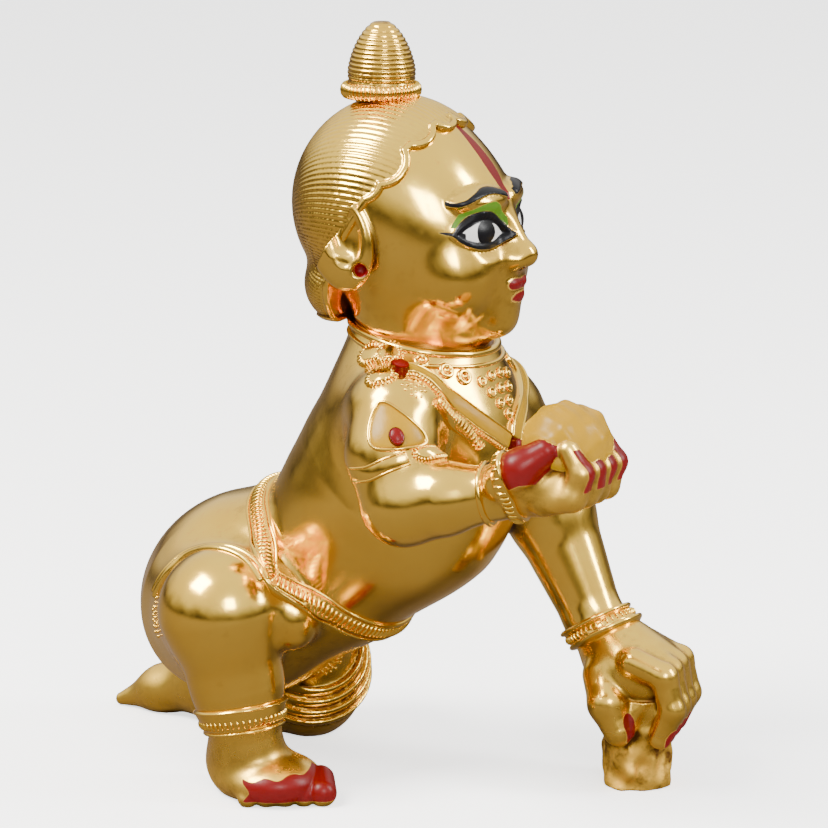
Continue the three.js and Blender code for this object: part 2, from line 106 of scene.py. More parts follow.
def axesOf(pitch=0, yaw=0):
    p, w = math.radians(pitch), math.radians(yaw)
    forward = (math.cos(p) * math.cos(w), math.cos(p) * math.sin(w), math.sin(p))
    side = (-math.sin(w), math.cos(w), 0.0)
    up = (-math.sin(p) * math.cos(w), -math.sin(p) * math.sin(w), math.cos(p))
    return forward, side, up


def ellipsoid(centre, radii, pitch=0, yaw=0):
    forward, side, up = axesOf(pitch, yaw)
    cx, cy, cz = centre
    a, b, c = radii

    def form(x, y, z):
        dx, dy, dz = x - cx, y - cy, z - cz
        u = (dx * forward[0] + dy * forward[1] + dz * forward[2]) / a
        v = (dx * side[0] + dy * side[1] + dz * side[2]) / b
        w = (dx * up[0] + dy * up[1] + dz * up[2]) / c
        near = np.sqrt(u * u + v * v + w * w)
        return near * (near - 1) / (np.sqrt((u / a) ** 2 + (v / b) ** 2 + (w / c) ** 2) + 1e-9)

    return form


def cone(start, end, startRadius, endRadius):
    sx, sy, sz = start
    ex, ey, ez = (e - s for s, e in zip(start, end))
    length2 = ex * ex + ey * ey + ez * ez + 1e-12

    def form(x, y, z):
        dx, dy, dz = x - sx, y - sy, z - sz
        t = np.clip((dx * ex + dy * ey + dz * ez) / length2, 0, 1)
        away = np.sqrt((dx - t * ex) ** 2 + (dy - t * ey) ** 2 + (dz - t * ez) ** 2)
        return away - (startRadius + (endRadius - startRadius) * t)

    return form


def meet(a, b, k):
    h = np.maximum(k - np.abs(a - b), 0) / k
    return np.minimum(a, b) - h * h * k * 0.25


def blend(k, *forms):
    def form(x, y, z):
        d = forms[0](x, y, z)
        for other in forms[1:]:
            d = meet(d, other(x, y, z), k)
        return d

    return form


def join(*forms):
    def form(x, y, z):
        d = forms[0](x, y, z)
        for other in forms[1:]:
            d = np.minimum(d, other(x, y, z))
        return d

    return form


def carve(k, form, *tools):
    def carved(x, y, z):
        d = form(x, y, z)
        for tool in tools:
            d = -meet(-d, tool(x, y, z), k)
        return d

    return carved


def limb(points, radii, k):
    return blend(k, *(cone(*pair) for pair in zip(points, points[1:], radii, radii[1:])))


def within(centre, reach, form):
    cx, cy, cz = centre

    def rough(x, y, z):
        away = np.sqrt((x - cx) ** 2 + (y - cy) ** 2 + (z - cz) ** 2) - reach
        near = away <= 5
        if near.all():
            return form(x, y, z)
        if near.any():
            away[near] = form(x[near], y[near], z[near])
        return away

    return rough


def torus(centre, radius, thickness):
    cx, cy, cz = centre
    return lambda x, y, z: np.hypot(np.hypot(x - cx, y - cy) - radius, z - cz) - thickness


def uneven(waves, pitch, seed):
    draw = np.random.default_rng(seed)
    turns = draw.normal(size=(waves, 3))
    turns *= pitch * draw.uniform(0.6, 1.6, (waves, 1)) / np.linalg.norm(turns, axis=1, keepdims=True)
    starts = draw.uniform(0, 2 * math.pi, waves)

    def rise(x, y, z):
        total = np.zeros_like(x)
        for (a, b, c), start in zip(turns.astype(single), starts.astype(single)):
            total += np.sin(a * x + b * y + c * z + start)
        return total / single(math.sqrt(waves))

    return rise


def between(a, b, t):
    return tuple(p + (q - p) * t for p, q in zip(a, b))


# Meshing: quads of a form's zero surface, found coarse to fine. slack is above the steepest slope of a form
cornerSteps = np.array([(c & 1, c >> 1 & 1, c >> 2 & 1) for c in range(8)], np.int64)
cellEdges = [(a, b) for a in range(8) for b in range(a + 1, 8) if bin(a ^ b).count("1") == 1]


def sheetTable():
    table = np.full((256, 12), -1, np.int8)
    counts = np.zeros(256, np.int64)
    faces = [[c for c in range(8) if (c >> axis & 1) == side] for axis in range(3) for side in (0, 1)]
    for pattern in range(256):
        inside = [pattern >> c & 1 for c in range(8)]
        crossing = [e for e, (a, b) in enumerate(cellEdges) if inside[a] != inside[b]]
        root = {e: e for e in crossing}

        def find(e):
            while root[e] != e:
                e = root[e]
            return e

        for face in faces:
            on = [e for e in crossing if cellEdges[e][0] in face and cellEdges[e][1] in face]
            if len(on) == 2:
                root[find(on[0])] = find(on[1])
            elif len(on) == 4:  # two sheets: pair the edges that share an inside corner
                for c in face:
                    if inside[c]:
                        two = [e for e in on if c in cellEdges[e]]
                        root[find(two[0])] = find(two[1])
        labels = {r: i for i, r in enumerate(sorted({find(e) for e in crossing}))}
        for e in crossing:
            table[pattern, e] = labels[find(e)]
        counts[pattern] = len(labels)
    return table, counts


sheetOf, sheetCount = sheetTable()


def valuesAt(form, points):
    p = np.ascontiguousarray(points.T, single)
    return form(p[0], p[1], p[2])


def slopeAt(form, points, step=0.02):
    total = np.zeros_like(points)
    for corner in ((1, -1, -1), (-1, -1, 1), (-1, 1, -1), (1, 1, 1)):
        k = np.array(corner, single)
        total += k * valuesAt(form, points + k * single(step))[:, None]
    return total / single(4 * step)


def surfaceCells(form, low, high, cell, levels=4, slack=3.0):
    size = cell * 2 ** levels
    count = np.ceil((np.array(high, float) - low) / size).astype(int)
    ids = np.stack(np.meshgrid(*[np.arange(k) for k in count], indexing="ij"), -1).reshape(-1, 3)
    for level in range(levels + 1):
        d = valuesAt(form, low + (ids + 0.5) * size)
        ids = ids[np.abs(d) < size * 0.5 * math.sqrt(3) * slack]
        if level < levels:
            ids = (ids[:, None, :] * 2 + cornerSteps[None]).reshape(-1, 3)
            size /= 2
    return ids, count * 2 ** levels + 2


def surfaceOf(form, low, high, cell):
    low = np.array(low, float)
    ids, dims = surfaceCells(form, low, high, cell)

    def keyOf(c):
        return (c[:, 0] * dims[1] + c[:, 1]) * dims[2] + c[:, 2]

    order = np.argsort(keyOf(ids))
    ids = ids[order]
    corners = (ids[:, None, :] + cornerSteps[None]).reshape(-1, 3)
    _, first, inverse = np.unique(keyOf(corners), return_index=True, return_inverse=True)
    value = valuesAt(form, low + corners[first] * cell)[inverse].reshape(-1, 8)
    pattern = ((value < 0) * (1 << np.arange(8))).sum(1)
    live = (pattern > 0) & (pattern < 255)
    ids, value, pattern = ids[live], value[live], pattern[live]
    keys = keyOf(ids)
    base = np.concatenate([[0], np.cumsum(sheetCount[pattern])])
    total, hits = np.zeros((base[-1], 3)), np.zeros(base[-1])
    for e, (a, b) in enumerate(cellEdges):
        sheet = sheetOf[pattern, e]
        on = sheet >= 0
        va, vb = value[on, a], value[on, b]
        t = (va / (va - vb))[:, None]
        index = base[:-1][on] + sheet[on]
        np.add.at(total, index, ids[on] + cornerSteps[a] + (cornerSteps[b] - cornerSteps[a]) * t)
        np.add.at(hits, index, 1)
    points = (low + total / hits[:, None] * cell).astype(single)
    quads = quadsOf(ids, keys, keyOf, pattern, base)
    return drawnTo(form, points, cell), quads


def quadsOf(ids, keys, keyOf, pattern, base):
    quads = []
    for axis in range(3):
        u, w = (axis + 1) % 3, (axis + 2) % 3
        startIn = pattern & 1
        crossed = np.nonzero(startIn != (pattern >> (1 << axis) & 1))[0]
        ring, whole = [], np.ones(len(crossed), bool)
        for du, dw in ((0, 0), (1, 0), (1, 1), (0, 1)):
            offset = np.zeros(3, int)
            offset[u], offset[w] = -du, -dw
            wanted = keyOf(ids[crossed] + offset)
            at = np.minimum(np.searchsorted(keys, wanted), len(keys) - 1)
            whole &= keys[at] == wanted
            corner = (du << u) | (dw << w)
            edge = cellEdges.index((corner, corner | (1 << axis)))
            ring.append(base[:-1][at] + sheetOf[pattern[at], edge])
        quad = np.stack(ring, 1)
        turned = startIn[crossed] == 0
        quad[turned] = quad[turned][:, ::-1]
        quads.append(quad[whole])
    return np.concatenate(quads)


def drawnTo(form, points, cell, rounds=2):
    for _ in range(rounds):
        slope = slopeAt(form, points)
        d = valuesAt(form, points)
        move = -(d / np.maximum((slope * slope).sum(1), 0.25))[:, None] * slope
        length = np.linalg.norm(move, axis=1, keepdims=True)
        points = points + move * np.minimum(1, 0.5 * cell / np.maximum(length, 1e-6))
    return points


def facingAt(form, points):
    slope = slopeAt(form, points)
    return slope / np.maximum(np.linalg.norm(slope, axis=1, keepdims=True), 1e-6)


# Torso
torso = {
    "hip": (-10.0, 0, 22.3),
    "hipRadii": (14.8, 15.5, 13.6),
    "hipPitch": 30,
    "core": [(2.6, 0, 28.6), (11.8, 0, 38.4), (15.6, 0, 43.2)],
    "coreRadii": [12.2, 13.9, 13.2],
    "breast": (13.6, 0, 48.0),
    "breastRadii": (12.4, 14.0, 11.0),
    "breastPitch": 43,
    "shoulders": [(16.6, -12.0, 51.5), (14.2, 0, 52.6), (17.6, 11.0, 48.0)],
    "shoulderRadii": [5.6, 7.2, 6.2],
    "neckFoot": (15.0, 0, 50),
    "neckHead": (14.4, 0, 61),
    "neckRadii": (10.0, 8.4),
}


def torsoForm():
    core = limb(torso["core"], torso["coreRadii"], 4)
    chest = ellipsoid(torso["breast"], torso["breastRadii"], torso["breastPitch"])
    hips = ellipsoid(torso["hip"], torso["hipRadii"], torso["hipPitch"])
    shoulders = limb(torso["shoulders"], torso["shoulderRadii"], 4)
    neck = cone(torso["neckFoot"], torso["neckHead"], *torso["neckRadii"])
    return blend(4, blend(5, blend(4, core, chest), hips, shoulders), neck)


# Right arm and the hand with the sweet ball
rightArm = {
    "shoulder": (17.4, -13.4, 51.6),
    "elbow": (20.8, -18.2, 41.6),
    "wrist": (32.5, -17.0, 43.7),
    "laddu": (41.0, -14.4, 50.4),
    "ladduRadius": 5.6,
    "crumb": 0.16,  # height of the lumps on the sweet ball
    "palm": (39.0, -15.5, 45.4),
    "palmRadii": (7.4, 5.4, 3.6),
    "thumb": [(34.5, -19.3, 45.8), (37.3, -20.6, 48.1), (40.2, -19.4, 50.2)],
    "thumbRadii": [2.5, 2.4, 1.8],
}


def rightArmForm():
    shoulder, elbow, wrist = rightArm["shoulder"], rightArm["elbow"], rightArm["wrist"]
    bend = between(shoulder, elbow, 0.45)
    upper = limb([shoulder, (bend[0] - 0.6, bend[1] - 0.8, bend[2]), elbow], [5.8, 5.6, 5.1], 2)
    fore = limb([elbow, (26, -18.0, 42.6), wrist], [5.1, 4.6, 3.3], 1)
    return blend(2, upper, fore)


def rightFingers():
    paths = []
    for i in range(4):
        x, y = 45.0 - 0.35 * i, -11.0 - 2.7 * i
        paths.append([(x - 4, y, 43.7), (x - 0.3, y - 0.2, 44.8), (x + 0.8, y, 47.8), (x - 0.9, y, 50.6)])
    return paths


def ladduForm():
    r = rightArm["ladduRadius"]
    ball, lumps = ellipsoid(rightArm["laddu"], (r, r, r - 0.7)), uneven(9, 2.0, 5)
    return lambda x, y, z: ball(x, y, z) - rightArm["crumb"] * lumps(x, y, z)


def rightHandForm():
    palm = ellipsoid(rightArm["palm"], rightArm["palmRadii"], 6)
    heel = cone((32, -17, 43.7), (37, -15.8, 45.0), 3.2, 3.6)
    fingers = [limb(path, [1.7, 1.7, 1.55, 1.3], 0.6) for path in rightFingers()]
    thumb = limb(rightArm["thumb"], rightArm["thumbRadii"], 0.8)
    return join(blend(0.8, blend(2, heel, palm), *fingers, thumb), ladduForm())


# Left arm and the fist on its stub
leftArm = {
    "shoulder": (19.8, 12.4, 46.0),
    "elbow": (26.3, 15.0, 33.5),
    "wrist": (33.2, 13.4, 20.6),
    "radii": [6.4, 5.7, 3.9],
    "stub": (41.0, 10.0),
    "stubRadius": 4.6,
    "stubChips": 0.3,  # how uneven the rough stub is
    "thumb": [(37, 8.0, 14.5), (38.6, 5.4, 11.5), (40.2, 4.9, 8.2)],
    "thumbRadii": [2.8, 2.5, 1.9],
}


def leftArmForm():
    return limb([leftArm["shoulder"], leftArm["elbow"], leftArm["wrist"]], leftArm["radii"], 1.5)


def leftFingers():
    paths = []
    for i in range(4):
        x, y = 46.0 - 0.4 * i, 6.2 + 2.9 * i
        paths.append([(x - 4.2, y, 17.2), (x, y, 15.8), (x + 1.2, y, 11.5), (x - 0.4, y, 7.6)])
    return paths


def leftHandForm():
    wrist = cone(leftArm["wrist"], (36.5, 12.5, 17.2), 3.9, 4.2)
    back = ellipsoid((40.5, 11.2, 15.0), (6.8, 6.0, 5.0), -18)
    fingers = [limb(path, [1.9, 1.8, 1.7, 1.45], 0.6) for path in leftFingers()]
    thumb = limb(leftArm["thumb"], leftArm["thumbRadii"], 0.8)
    sx, sy = leftArm["stub"]
    chips = uneven(12, 1.7, 8)

    def post(x, y, z):
        radius = leftArm["stubRadius"] + 0.04 * z - 0.3 + leftArm["stubChips"] * chips(x, y, z)
        return np.maximum(np.hypot(x - sx, y - sy) - radius, np.abs(z - 5) - 7)

    return blend(0.8, blend(0.8, blend(3, wrist, back), *fingers, thumb), post)


# Legs
legs = {
    "rightKnee": (-5.2, -17.4, 24.4),
    "rightAnkle": (-2.8, -16.0, 8.2),
    "leftKnee": (-8.0, 12.4, 6.6),
    "leftShin": [(-8.0, 12.4, 6.6), (-22, 12.8, 5.6), (-30.6, 12.5, 3.0), (-36.8, 12.2, 0.9)],
    "leftShinRadii": [7.3, 5.4, 3.0, 0.9],
    "footTurn": -48,
}


def rightToes():
    toes = []
    for i in range(5):
        along = 4.9 - 2.4 * i
        x, y = 3.75 + 0.88 * along, -18.1 + 0.47 * along
        radius = 1.85 if i == 0 else 1.6 - 0.07 * i
        toes.append(((x - 1.6, y + 2.6, 2.4), (x, y, radius - 0.25), radius))
    return toes


def rightLegForm():
    knee = legs["rightKnee"]
    thigh = cone((-10, -8, 21.8), (knee[0], knee[1], knee[2] + 0.2), 10.5, 7.8)
    groin = ellipsoid((-0.5, -12.8, 25.2), (7.2, 6.4, 4.5), -45)
    shin = limb([knee, (-3.6, -16.8, 15.0), legs["rightAnkle"]], [7.8, 5.7, 4.6], 2)
    heel = ellipsoid((-4.2, -14.2, 4.0), (5.0, 4.8, 4.9), 0, legs["footTurn"])
    instep = ellipsoid((0.9, -15.4, 2.5), (6.4, 6.2, 3.3), 0, legs["footTurn"])
    toes = [cone(start, end, radius, radius) for start, end, radius in rightToes()]
    leg = blend(1.2, blend(2, thigh, shin), groin)
    return blend(0.35, blend(2.5, leg, blend(3, heel, instep)), *toes)


def leftLegForm():
    thigh = limb([(-9, 8, 21.5), (-8, 12.4, 10.5)], [10.5, 7.4], 2)
    return blend(3, thigh, limb(legs["leftShin"], legs["leftShinRadii"], 2))


# Head: a calm child's face to common proportions, with the eyes midway between chin and crown
head = {
    "crown": 89.2,
    "skull": (11.2, 0, 76.0),
    "skullRadii": (12.9, 12.9, 13.2),
    "face": (18.2, 0, 70.0),
    "faceRadii": (9.8, 10.6, 11.8),
    "chartAxis": 14.0,  # the face is charted by its heading round an upright line at this x
    "chartRadius": 13.0,
}
eye = {"u": 5.7, "v": 73.6, "halfLength": 4.1, "rise": 2.15, "drop": 1.3, "tilt": 0.06, "irisRadius": 1.6}


def evenSided(form):
    return lambda x, y, z: form(x, np.abs(y), z)


def onChart(x, y, z):
    return head["chartRadius"] * np.abs(np.arctan2(y, x - head["chartAxis"])), z


def lidLines(u):
    t = (u - eye["u"]) / eye["halfLength"]
    full = np.sign(1 - t * t) * np.abs(1 - t * t) ** 0.85
    level = eye["v"] + eye["tilt"] * (u - eye["u"])
    return level + eye["rise"] * full, level - eye["drop"] * full


def browLine(u):
    return eye["v"] + 5.4 - 0.095 * (u - 4.6) ** 2 + 0.0016 * (u - 4.6) ** 4


def insideEye(u, v):
    upper, lower = lidLines(u)
    return np.minimum(np.minimum(upper - v, v - lower), eye["halfLength"] - np.abs(u - eye["u"])) * 0.85


def bareHead():
    skull = ellipsoid(head["skull"], head["skullRadii"])
    return blend(5, skull, ellipsoid(head["face"], head["faceRadii"], -2))


def noseForm():
    bridge = cone((25.6, 0, 75.6), (28.6, 0, 70.8), 1.1, 1.45)
    tip = ellipsoid((28.9, 0, 70.3), (1.6, 1.5, 1.35))
    wing = evenSided(ellipsoid((27.9, 1.6, 69.8), (1.5, 1.05, 1.05)))
    nostril = evenSided(ellipsoid((28.5, 1.15, 68.9), (0.8, 0.5, 0.5)))
    return carve(0.3, blend(1.3, bridge, tip, wing), nostril)


def lipsForm():
    upper = evenSided(ellipsoid((27.3, 1.2, 66.75), (1.3, 1.9, 0.8), 8, 24))
    lower = ellipsoid((27.1, 0, 65.1), (1.4, 2.3, 0.95))
    line = ellipsoid((29.0, 0, 65.95), (2.0, 3.0, 0.2))
    return carve(0.25, blend(0.5, upper, lower), line)


def faceForm():
    cheek = evenSided(ellipsoid((21.4, 5.6, 67.6), (4.8, 4.6, 4.6), 0, 20))
    chin = ellipsoid((24.9, 0, 62.2), (2.9, 3.3, 2.7))
    muzzle = ellipsoid((24.4, 0, 66.0), (3.4, 3.8, 3.0))
    socket = evenSided(ellipsoid((28.6, 5.0, 73.7), (3.4, 4.2, 2.6), 0, 24))
    eyeball = evenSided(ellipsoid((23.3, 4.9, 73.7), (3.1, 4.3, 2.8), 0, 26))
    brow = evenSided(ellipsoid((24.7, 4.6, 77.6), (1.9, 4.4, 1.5), -12, 24))
    neck = cone((14.6, 0, 56), (14.0, 0, 64), 8.6, 8.2)
    soft = blend(2.6, bareHead(), cheek, chin, muzzle)
    shaped = carve(1.6, soft, socket)
    featured = blend(0.6, blend(1.5, blend(0.9, shaped, brow), noseForm()), lipsForm(), eyeball)

    def lidded(x, y, z):
        u, v = onChart(x, y, z)
        almond = insideEye(u, v)
        rim = 0.24 * (1 - smooth(0.18, 0.5, np.abs(almond + 0.25)))
        ridge = 0.28 * (1 - smooth(0.25, 0.6, np.abs(v - browLine(u))))
        ridge = ridge * smooth(0.9, 1.6, u) * smooth(11.2, 10.2, u)
        return featured(x, y, z) - np.maximum(rim, ridge) * (x > 16)

    return blend(0.6, blend(3, lidded, neck), earForm())


def earForm():
    shell = ellipsoid((9.6, 13.1, 72.8), (4.4, 1.7, 6.4), 14)
    bowl = ellipsoid((10.5, 14.8, 74.0), (2.7, 1.7, 4.4), 14)
    foldLine = [(8.6, 13.5, 76.6), (7.9, 13.6, 73.8), (9.0, 13.6, 71.0), (11.0, 13.4, 70.6)]
    fold = limb(foldLine, [0.5, 0.75, 0.8, 0.6], 0.6)
    bore = ellipsoid((12.6, 14.4, 69.4), (0.95, 1.6, 0.95))
    ear = carve(0.5, blend(0.6, carve(0.5, shell, bowl), fold), bore)
    return evenSided(within((9.6, 13.1, 72.8), 8, ear))


# Hair: combed from face to nape, with a scalloped rim and a coiled topknot
hair = {
    "relief": 0.45,
    "rimRelief": 0.3,
    "rimWidth": 0.75,
    "strand": 0.58,  # from line to line
    "strandDepth": 0.11,
    "combHeight": 70.0,  # the lines fan round a level line at this height
    "closest": 9.5,  # nearer that line than this they fade out
    "cusps": [(19.4, 0, 86.7), (18.3, 4, 86.0), (16.8, 8.7, 84.2), (15.0, 12.0, 79.5), (10.6, 13.2, 78.2)],
    "lobeFullness": 0.6,
    "knot": (9.1, 0, 92.6),
    "knotTop": 98.7,
    "coil": 0.56,
    "coilDepth": 0.13,
}


def lobes():
    middle = np.array(head["skull"])
    for a, b in zip(hair["cusps"], hair["cusps"][1:]):
        a, b = np.array(a, float), np.array(b, float)
        chord = np.linalg.norm(b - a)
        out = (a + b) / 2 - middle
        inward = np.cross(out, b - a)
        inward /= np.linalg.norm(inward)
        radius = chord * hair["lobeFullness"]
        centre = (a + b) / 2 + inward * math.sqrt(radius ** 2 - (chord / 2) ** 2)
        yield centre, radius


def hairReach(x, y, z):
    side = np.abs(y)
    front = -0.853 * x + 0.521 * z - 29.2
    behindEar = np.minimum(6.6 - x + 0.05 * (z - 70), z - 61.0)
    over = np.maximum(front, behindEar)
    for centre, radius in lobes():
        away = np.sqrt((x - centre[0]) ** 2 + (side - centre[1]) ** 2 + (z - centre[2]) ** 2)
        over = np.maximum(over, radius - away)
    return over


def combPhase(x, y, z):
    turn = np.arctan2(np.abs(y), z - hair["combHeight"] + 0.12 * (x - 11))
    return turn * 13.6 / hair["strand"]


def hairForm():
    roll = ellipsoid((6.0, 0, 66.2), (5.6, 9.5, 6.2), -35)
    plain = blend(1.2, bareHead(), roll)

    def dressed(x, y, z):
        over = hairReach(x, y, z)
        rim = hair["rimRelief"] * (1 - smooth(0.25, 0.55, np.abs(over - hair["rimWidth"] / 2)))
        combed = smooth(hair["rimWidth"] + 0.1, hair["rimWidth"] + 0.5, over)
        groove = (0.5 + 0.5 * np.cos(2 * math.pi * combPhase(x, y, z))) ** 2
        spread = smooth(hair["closest"] - 3, hair["closest"], np.hypot(y, z - hair["combHeight"]))
        relief = hair["relief"] + rim - hair["strandDepth"] * groove * combed * spread
        return np.maximum(plain(x, y, z) - relief, -over)

    return dressed


def topknotForm():
    cx, cy, cz = hair["knot"]
    rise = hair["knotTop"] - cz

    def bullet(x, y, z):
        t = np.clip((z - cz) / rise, -0.3, 1)
        profile = 4.35 * np.sqrt(np.maximum(1 - 0.92 * t * t, 0)) * (1 - 0.18 * np.maximum(t, 0))
        coil = z / hair["coil"] + np.arctan2(y - cy, x - cx) / (2 * math.pi)
        groove = hair["coilDepth"] * (0.5 + 0.5 * np.cos(2 * math.pi * coil)) ** 2
        radius = np.hypot(x - cx, y - cy)
        return 0.8 * np.maximum(radius - profile + groove, np.abs(z - cz - rise / 2 + 0.9) - rise / 2 - 0.9)

    stem = cone((9.0, 0, 88), (9.0, 0, 92), 3.2, 3.2)
    band = torus((9.0, 0, 90.1), 3.75, 1.05)
    return join(bullet, stem, band)


# Cloth over the hips
cloth = {
    "beltPitch": 45,
    "beltAt": 21.8,
    "foldRelief": 0.8,
    "foldStep": 1.43,
    "foldCentre": (-5, 8, 14.5),
    "hem": [(-14.6, -16.6, 25.0), (-13.3, -16.9, 28.6), (-11.0, -16.2, 31.3), (-6.1, -17.7, 32.8),
            (-1.4, -18.3, 31.8), (1.4, -19.2, 29.8)],
    "hemWidth": 1.0,
    "hemHeight": 0.5,
    "hemGap": 1.45,  # from hem line to hem line
}


def beltAlong(x, z):
    pitch = math.radians(cloth["beltPitch"])
    return x * math.cos(pitch) + z * math.sin(pitch) - cloth["beltAt"]


def clothRelief(x, y, z):
    fx, fy, fz = cloth["foldCentre"]
    fold = np.sqrt((x - fx) ** 2 + (y - fy) ** 2 + (z - fz) ** 2)
    wave = (0.5 + 0.5 * np.cos((fold - 7.3) * 2 * math.pi / cloth["foldStep"])) ** 0.7
    folds = wave * smooth(6.4, 7.0, fold) * (1 - smooth(12.2, 12.8, fold))
    atKnee = smooth(3, 6, y) * smooth(-14, -10, x) * (1 - smooth(12, 15, z))
    return cloth["foldRelief"] * folds * atKnee


def bodyForm():
    trunk = blend(3, torsoForm(), leftArmForm())
    legged = blend(3, blend(2, trunk, rightLegForm()), leftLegForm())

    def clothed(x, y, z):
        return legged(x, y, z) - clothRelief(x, y, z)

    hands = [within((39, -16, 47), 12, rightHandForm()), within((40, 10, 11), 16, leftHandForm())]
    headed = within((14, 0, 74), 22, faceForm())
    return blend(0.9, blend(1.6, clothed, rightArmForm()), *hands, headed)


# Where the casting is cut into pieces: each cut hides under a ring
cuts = {
    "neck": ((15.3, 0, 59.4), 80, 0),
    "rightWrist": ((34.9, -16.6, 44.6), 12, 10),
    "leftWrist": ((34.2, 13.2, 19.3), -60, -12),
    "rightAnkle": ((-3.2, -16.1, 10.6), -78, -20),
}
reaches = {
    "rightWrist": ((41, -15, 47), 14),
    "leftWrist": ((40, 10, 9), 17),
    "rightAnkle": ((0, -16, 4), 14),
}
overlap = 0.2


def beyond(name):
    (cx, cy, cz), pitch, yaw = cuts[name]
    fx, fy, fz = axesOf(pitch, yaw)[0]

    def side(x, y, z):
        d = (x - cx) * fx + (y - cy) * fy + (z - cz) * fz
        if name in reaches:
            (rx, ry, rz), reach = reaches[name]
            away = reach - np.sqrt((x - rx) ** 2 + (y - ry) ** 2 + (z - rz) ** 2)
            d = np.minimum(d, away)
        return d

    return side


def kept(form, *sides):
    def piece(x, y, z):
        d = np.maximum(form(x, y, z), -z)
        for side, sign in sides:
            d = np.maximum(d, -sign * side(x, y, z) - overlap)
        return d

    return piece


whole = bodyForm()


def belt(x, y, z):
    return beltAlong(x, z) - 4 * smooth(-12.2, -14.5, y)


def underHair(x, y, z):
    return hairReach(x, y, z) - 1.2


# Paths over the skin
def settled(points, form=whole, rounds=8):
    points = np.array(points, single)
    for _ in range(rounds):
        slope = slopeAt(form, points)
        d = valuesAt(form, points)
        steep = np.maximum((slope * slope).sum(1), 0.3)[:, None]
        points = points - np.clip(d, -1.5, 1.5)[:, None] * slope / steep
    return points


def evenly(points, count, closed=False):
    points = np.asarray(points, float)
    if closed:
        points = np.vstack([points, points[:1]])
    run = np.concatenate([[0], np.cumsum(np.linalg.norm(np.diff(points, axis=0), axis=1))])
    at = np.linspace(0, run[-1], count + 1 if closed else count)
    at = at[:-1] if closed else at
    return np.stack([np.interp(at, run, points[:, axis]) for axis in range(3)], 1)


def rounded(points, closed=False, steps=12):
    p = np.asarray(points, float)
    if closed:
        p = np.vstack([p[-1:], p, p[:2]])
    else:
        p = np.vstack([2 * p[:1] - p[1:2], p, 2 * p[-1:] - p[-2:-1]])
    made = []
    for a, b, c, d in zip(p, p[1:], p[2:], p[3:]):
        for t in np.arange(steps) / steps:
            made.append(0.5 * (2 * b + (c - a) * t + (2 * a - 5 * b + 4 * c - d) * t * t
                               + (3 * b - a - 3 * c + d) * t ** 3))
    if not closed:
        made.append(p[-2])
    return np.array(made)


def skinPath(points, count, form=whole, closed=False):
    return settled(evenly(rounded(points, closed), count, closed), form)


def hoopPath(centre, pitch, yaw, count, form=whole, reach=17.0, bridge=0.0):
    _, side, up = (np.array(axis) for axis in axesOf(pitch, yaw))
    turn = np.arange(count) * 2 * math.pi / count
    rays = np.cos(turn)[:, None] * side + np.sin(turn)[:, None] * up
    steps = np.arange(0, reach, 0.15)
    points = np.array(centre) + rays[:, None, :] * steps[None, :, None]
    d = valuesAt(form, points.reshape(-1, 3)).reshape(count, -1)
    first = np.argmax(d > 0, axis=1)
    rows = np.arange(count)
    before, after = d[rows, first - 1], d[rows, first]
    radius = steps[first - 1] + 0.15 * before / (before - after)
    headings = np.stack([np.cos(turn), np.sin(turn)], 1)
    support = (headings * radius[:, None] @ headings.T).max(0)
    cosines = headings @ headings.T
    tight = np.where(cosines > 0.05, support / np.maximum(cosines, 0.05), reach * 2).min(1)
    radius = np.minimum(tight, radius + bridge)  # a cord round the form, let in where the hollow is deep
    return evenly(np.array(centre) + rays * radius[:, None], count, True)


def tangents(path, closed):
    if closed:
        run = np.roll(path, -1, 0) - np.roll(path, 1, 0)
    else:
        run = np.gradient(path, axis=0)
    return run / np.maximum(np.linalg.norm(run, axis=1, keepdims=True), 1e-9)


def band(path, facing, profile, closed):
    along = tangents(path, closed)
    facing = facing - along * (facing * along).sum(1, keepdims=True)
    facing /= np.linalg.norm(facing, axis=1, keepdims=True)
    side = np.cross(facing, along)
    profile = np.asarray(profile, float)
    points = (path[:, None] + side[:, None] * profile[None, :, :1] + facing[:, None] * profile[None, :, 1:])
    rows, ring = len(path), len(profile)
    faces = []
    for row in range(rows if closed else rows - 1):
        a, b = row * ring, (row + 1) % rows * ring
        for k in range(ring):
            m = (k + 1) % ring
            faces.append((a + k, b + k, b + m, a + m))
    if not closed:
        faces.append(tuple(range(ring)))
        faces.append(tuple(range((rows - 1) * ring, rows * ring))[::-1])
    return points.reshape(-1, 3), faces


def roundProfile(width, height, sink, steps=7):
    turn = np.linspace(0, math.pi, steps)
    crown = [(-math.cos(t) * width / 2, math.sin(t) ** 0.8 * height) for t in turn]
    return [(-width / 2, -sink)] + crown + [(width / 2, -sink)]


def flatProfile(width, height, sink, edge=0.12):
    w = width / 2
    return [(-w, -sink), (-w, height - edge), (-w + edge * 0.3, height - edge * 0.3), (-w + edge, height),
            (w - edge, height), (w - edge * 0.3, height - edge * 0.3), (w, height - edge), (w, -sink)]


def meshOf(name, parts, metal):
    points, faces, start = [], [], 0
    for somePoints, someFaces in parts:
        points.append(somePoints)
        faces += [tuple(start + v for v in face) for face in someFaces]
        start += len(somePoints)
    mesh = bpy.data.meshes.new(name)
    mesh.from_pydata(inRow(np.concatenate(points)).tolist(), [], faces)
    mesh.validate()
    mesh.shade_smooth()
    mesh.materials.append(metal)
    return link(name, mesh)


# Geometry Nodes: what repeats
def newTree(name):
    tree = bpy.data.node_groups.new(name, "GeometryNodeTree")
    tree.interface.new_socket("Geometry", in_out="INPUT", socket_type="NodeSocketGeometry")
    tree.interface.new_socket("Geometry", in_out="OUTPUT", socket_type="NodeSocketGeometry")
    return tree


def addInput(tree, name, kind, value=None):
    made = tree.interface.new_socket(name, in_out="INPUT", socket_type="NodeSocket" + kind)
    if value is not None:
        made.default_value = value
    return made.identifier


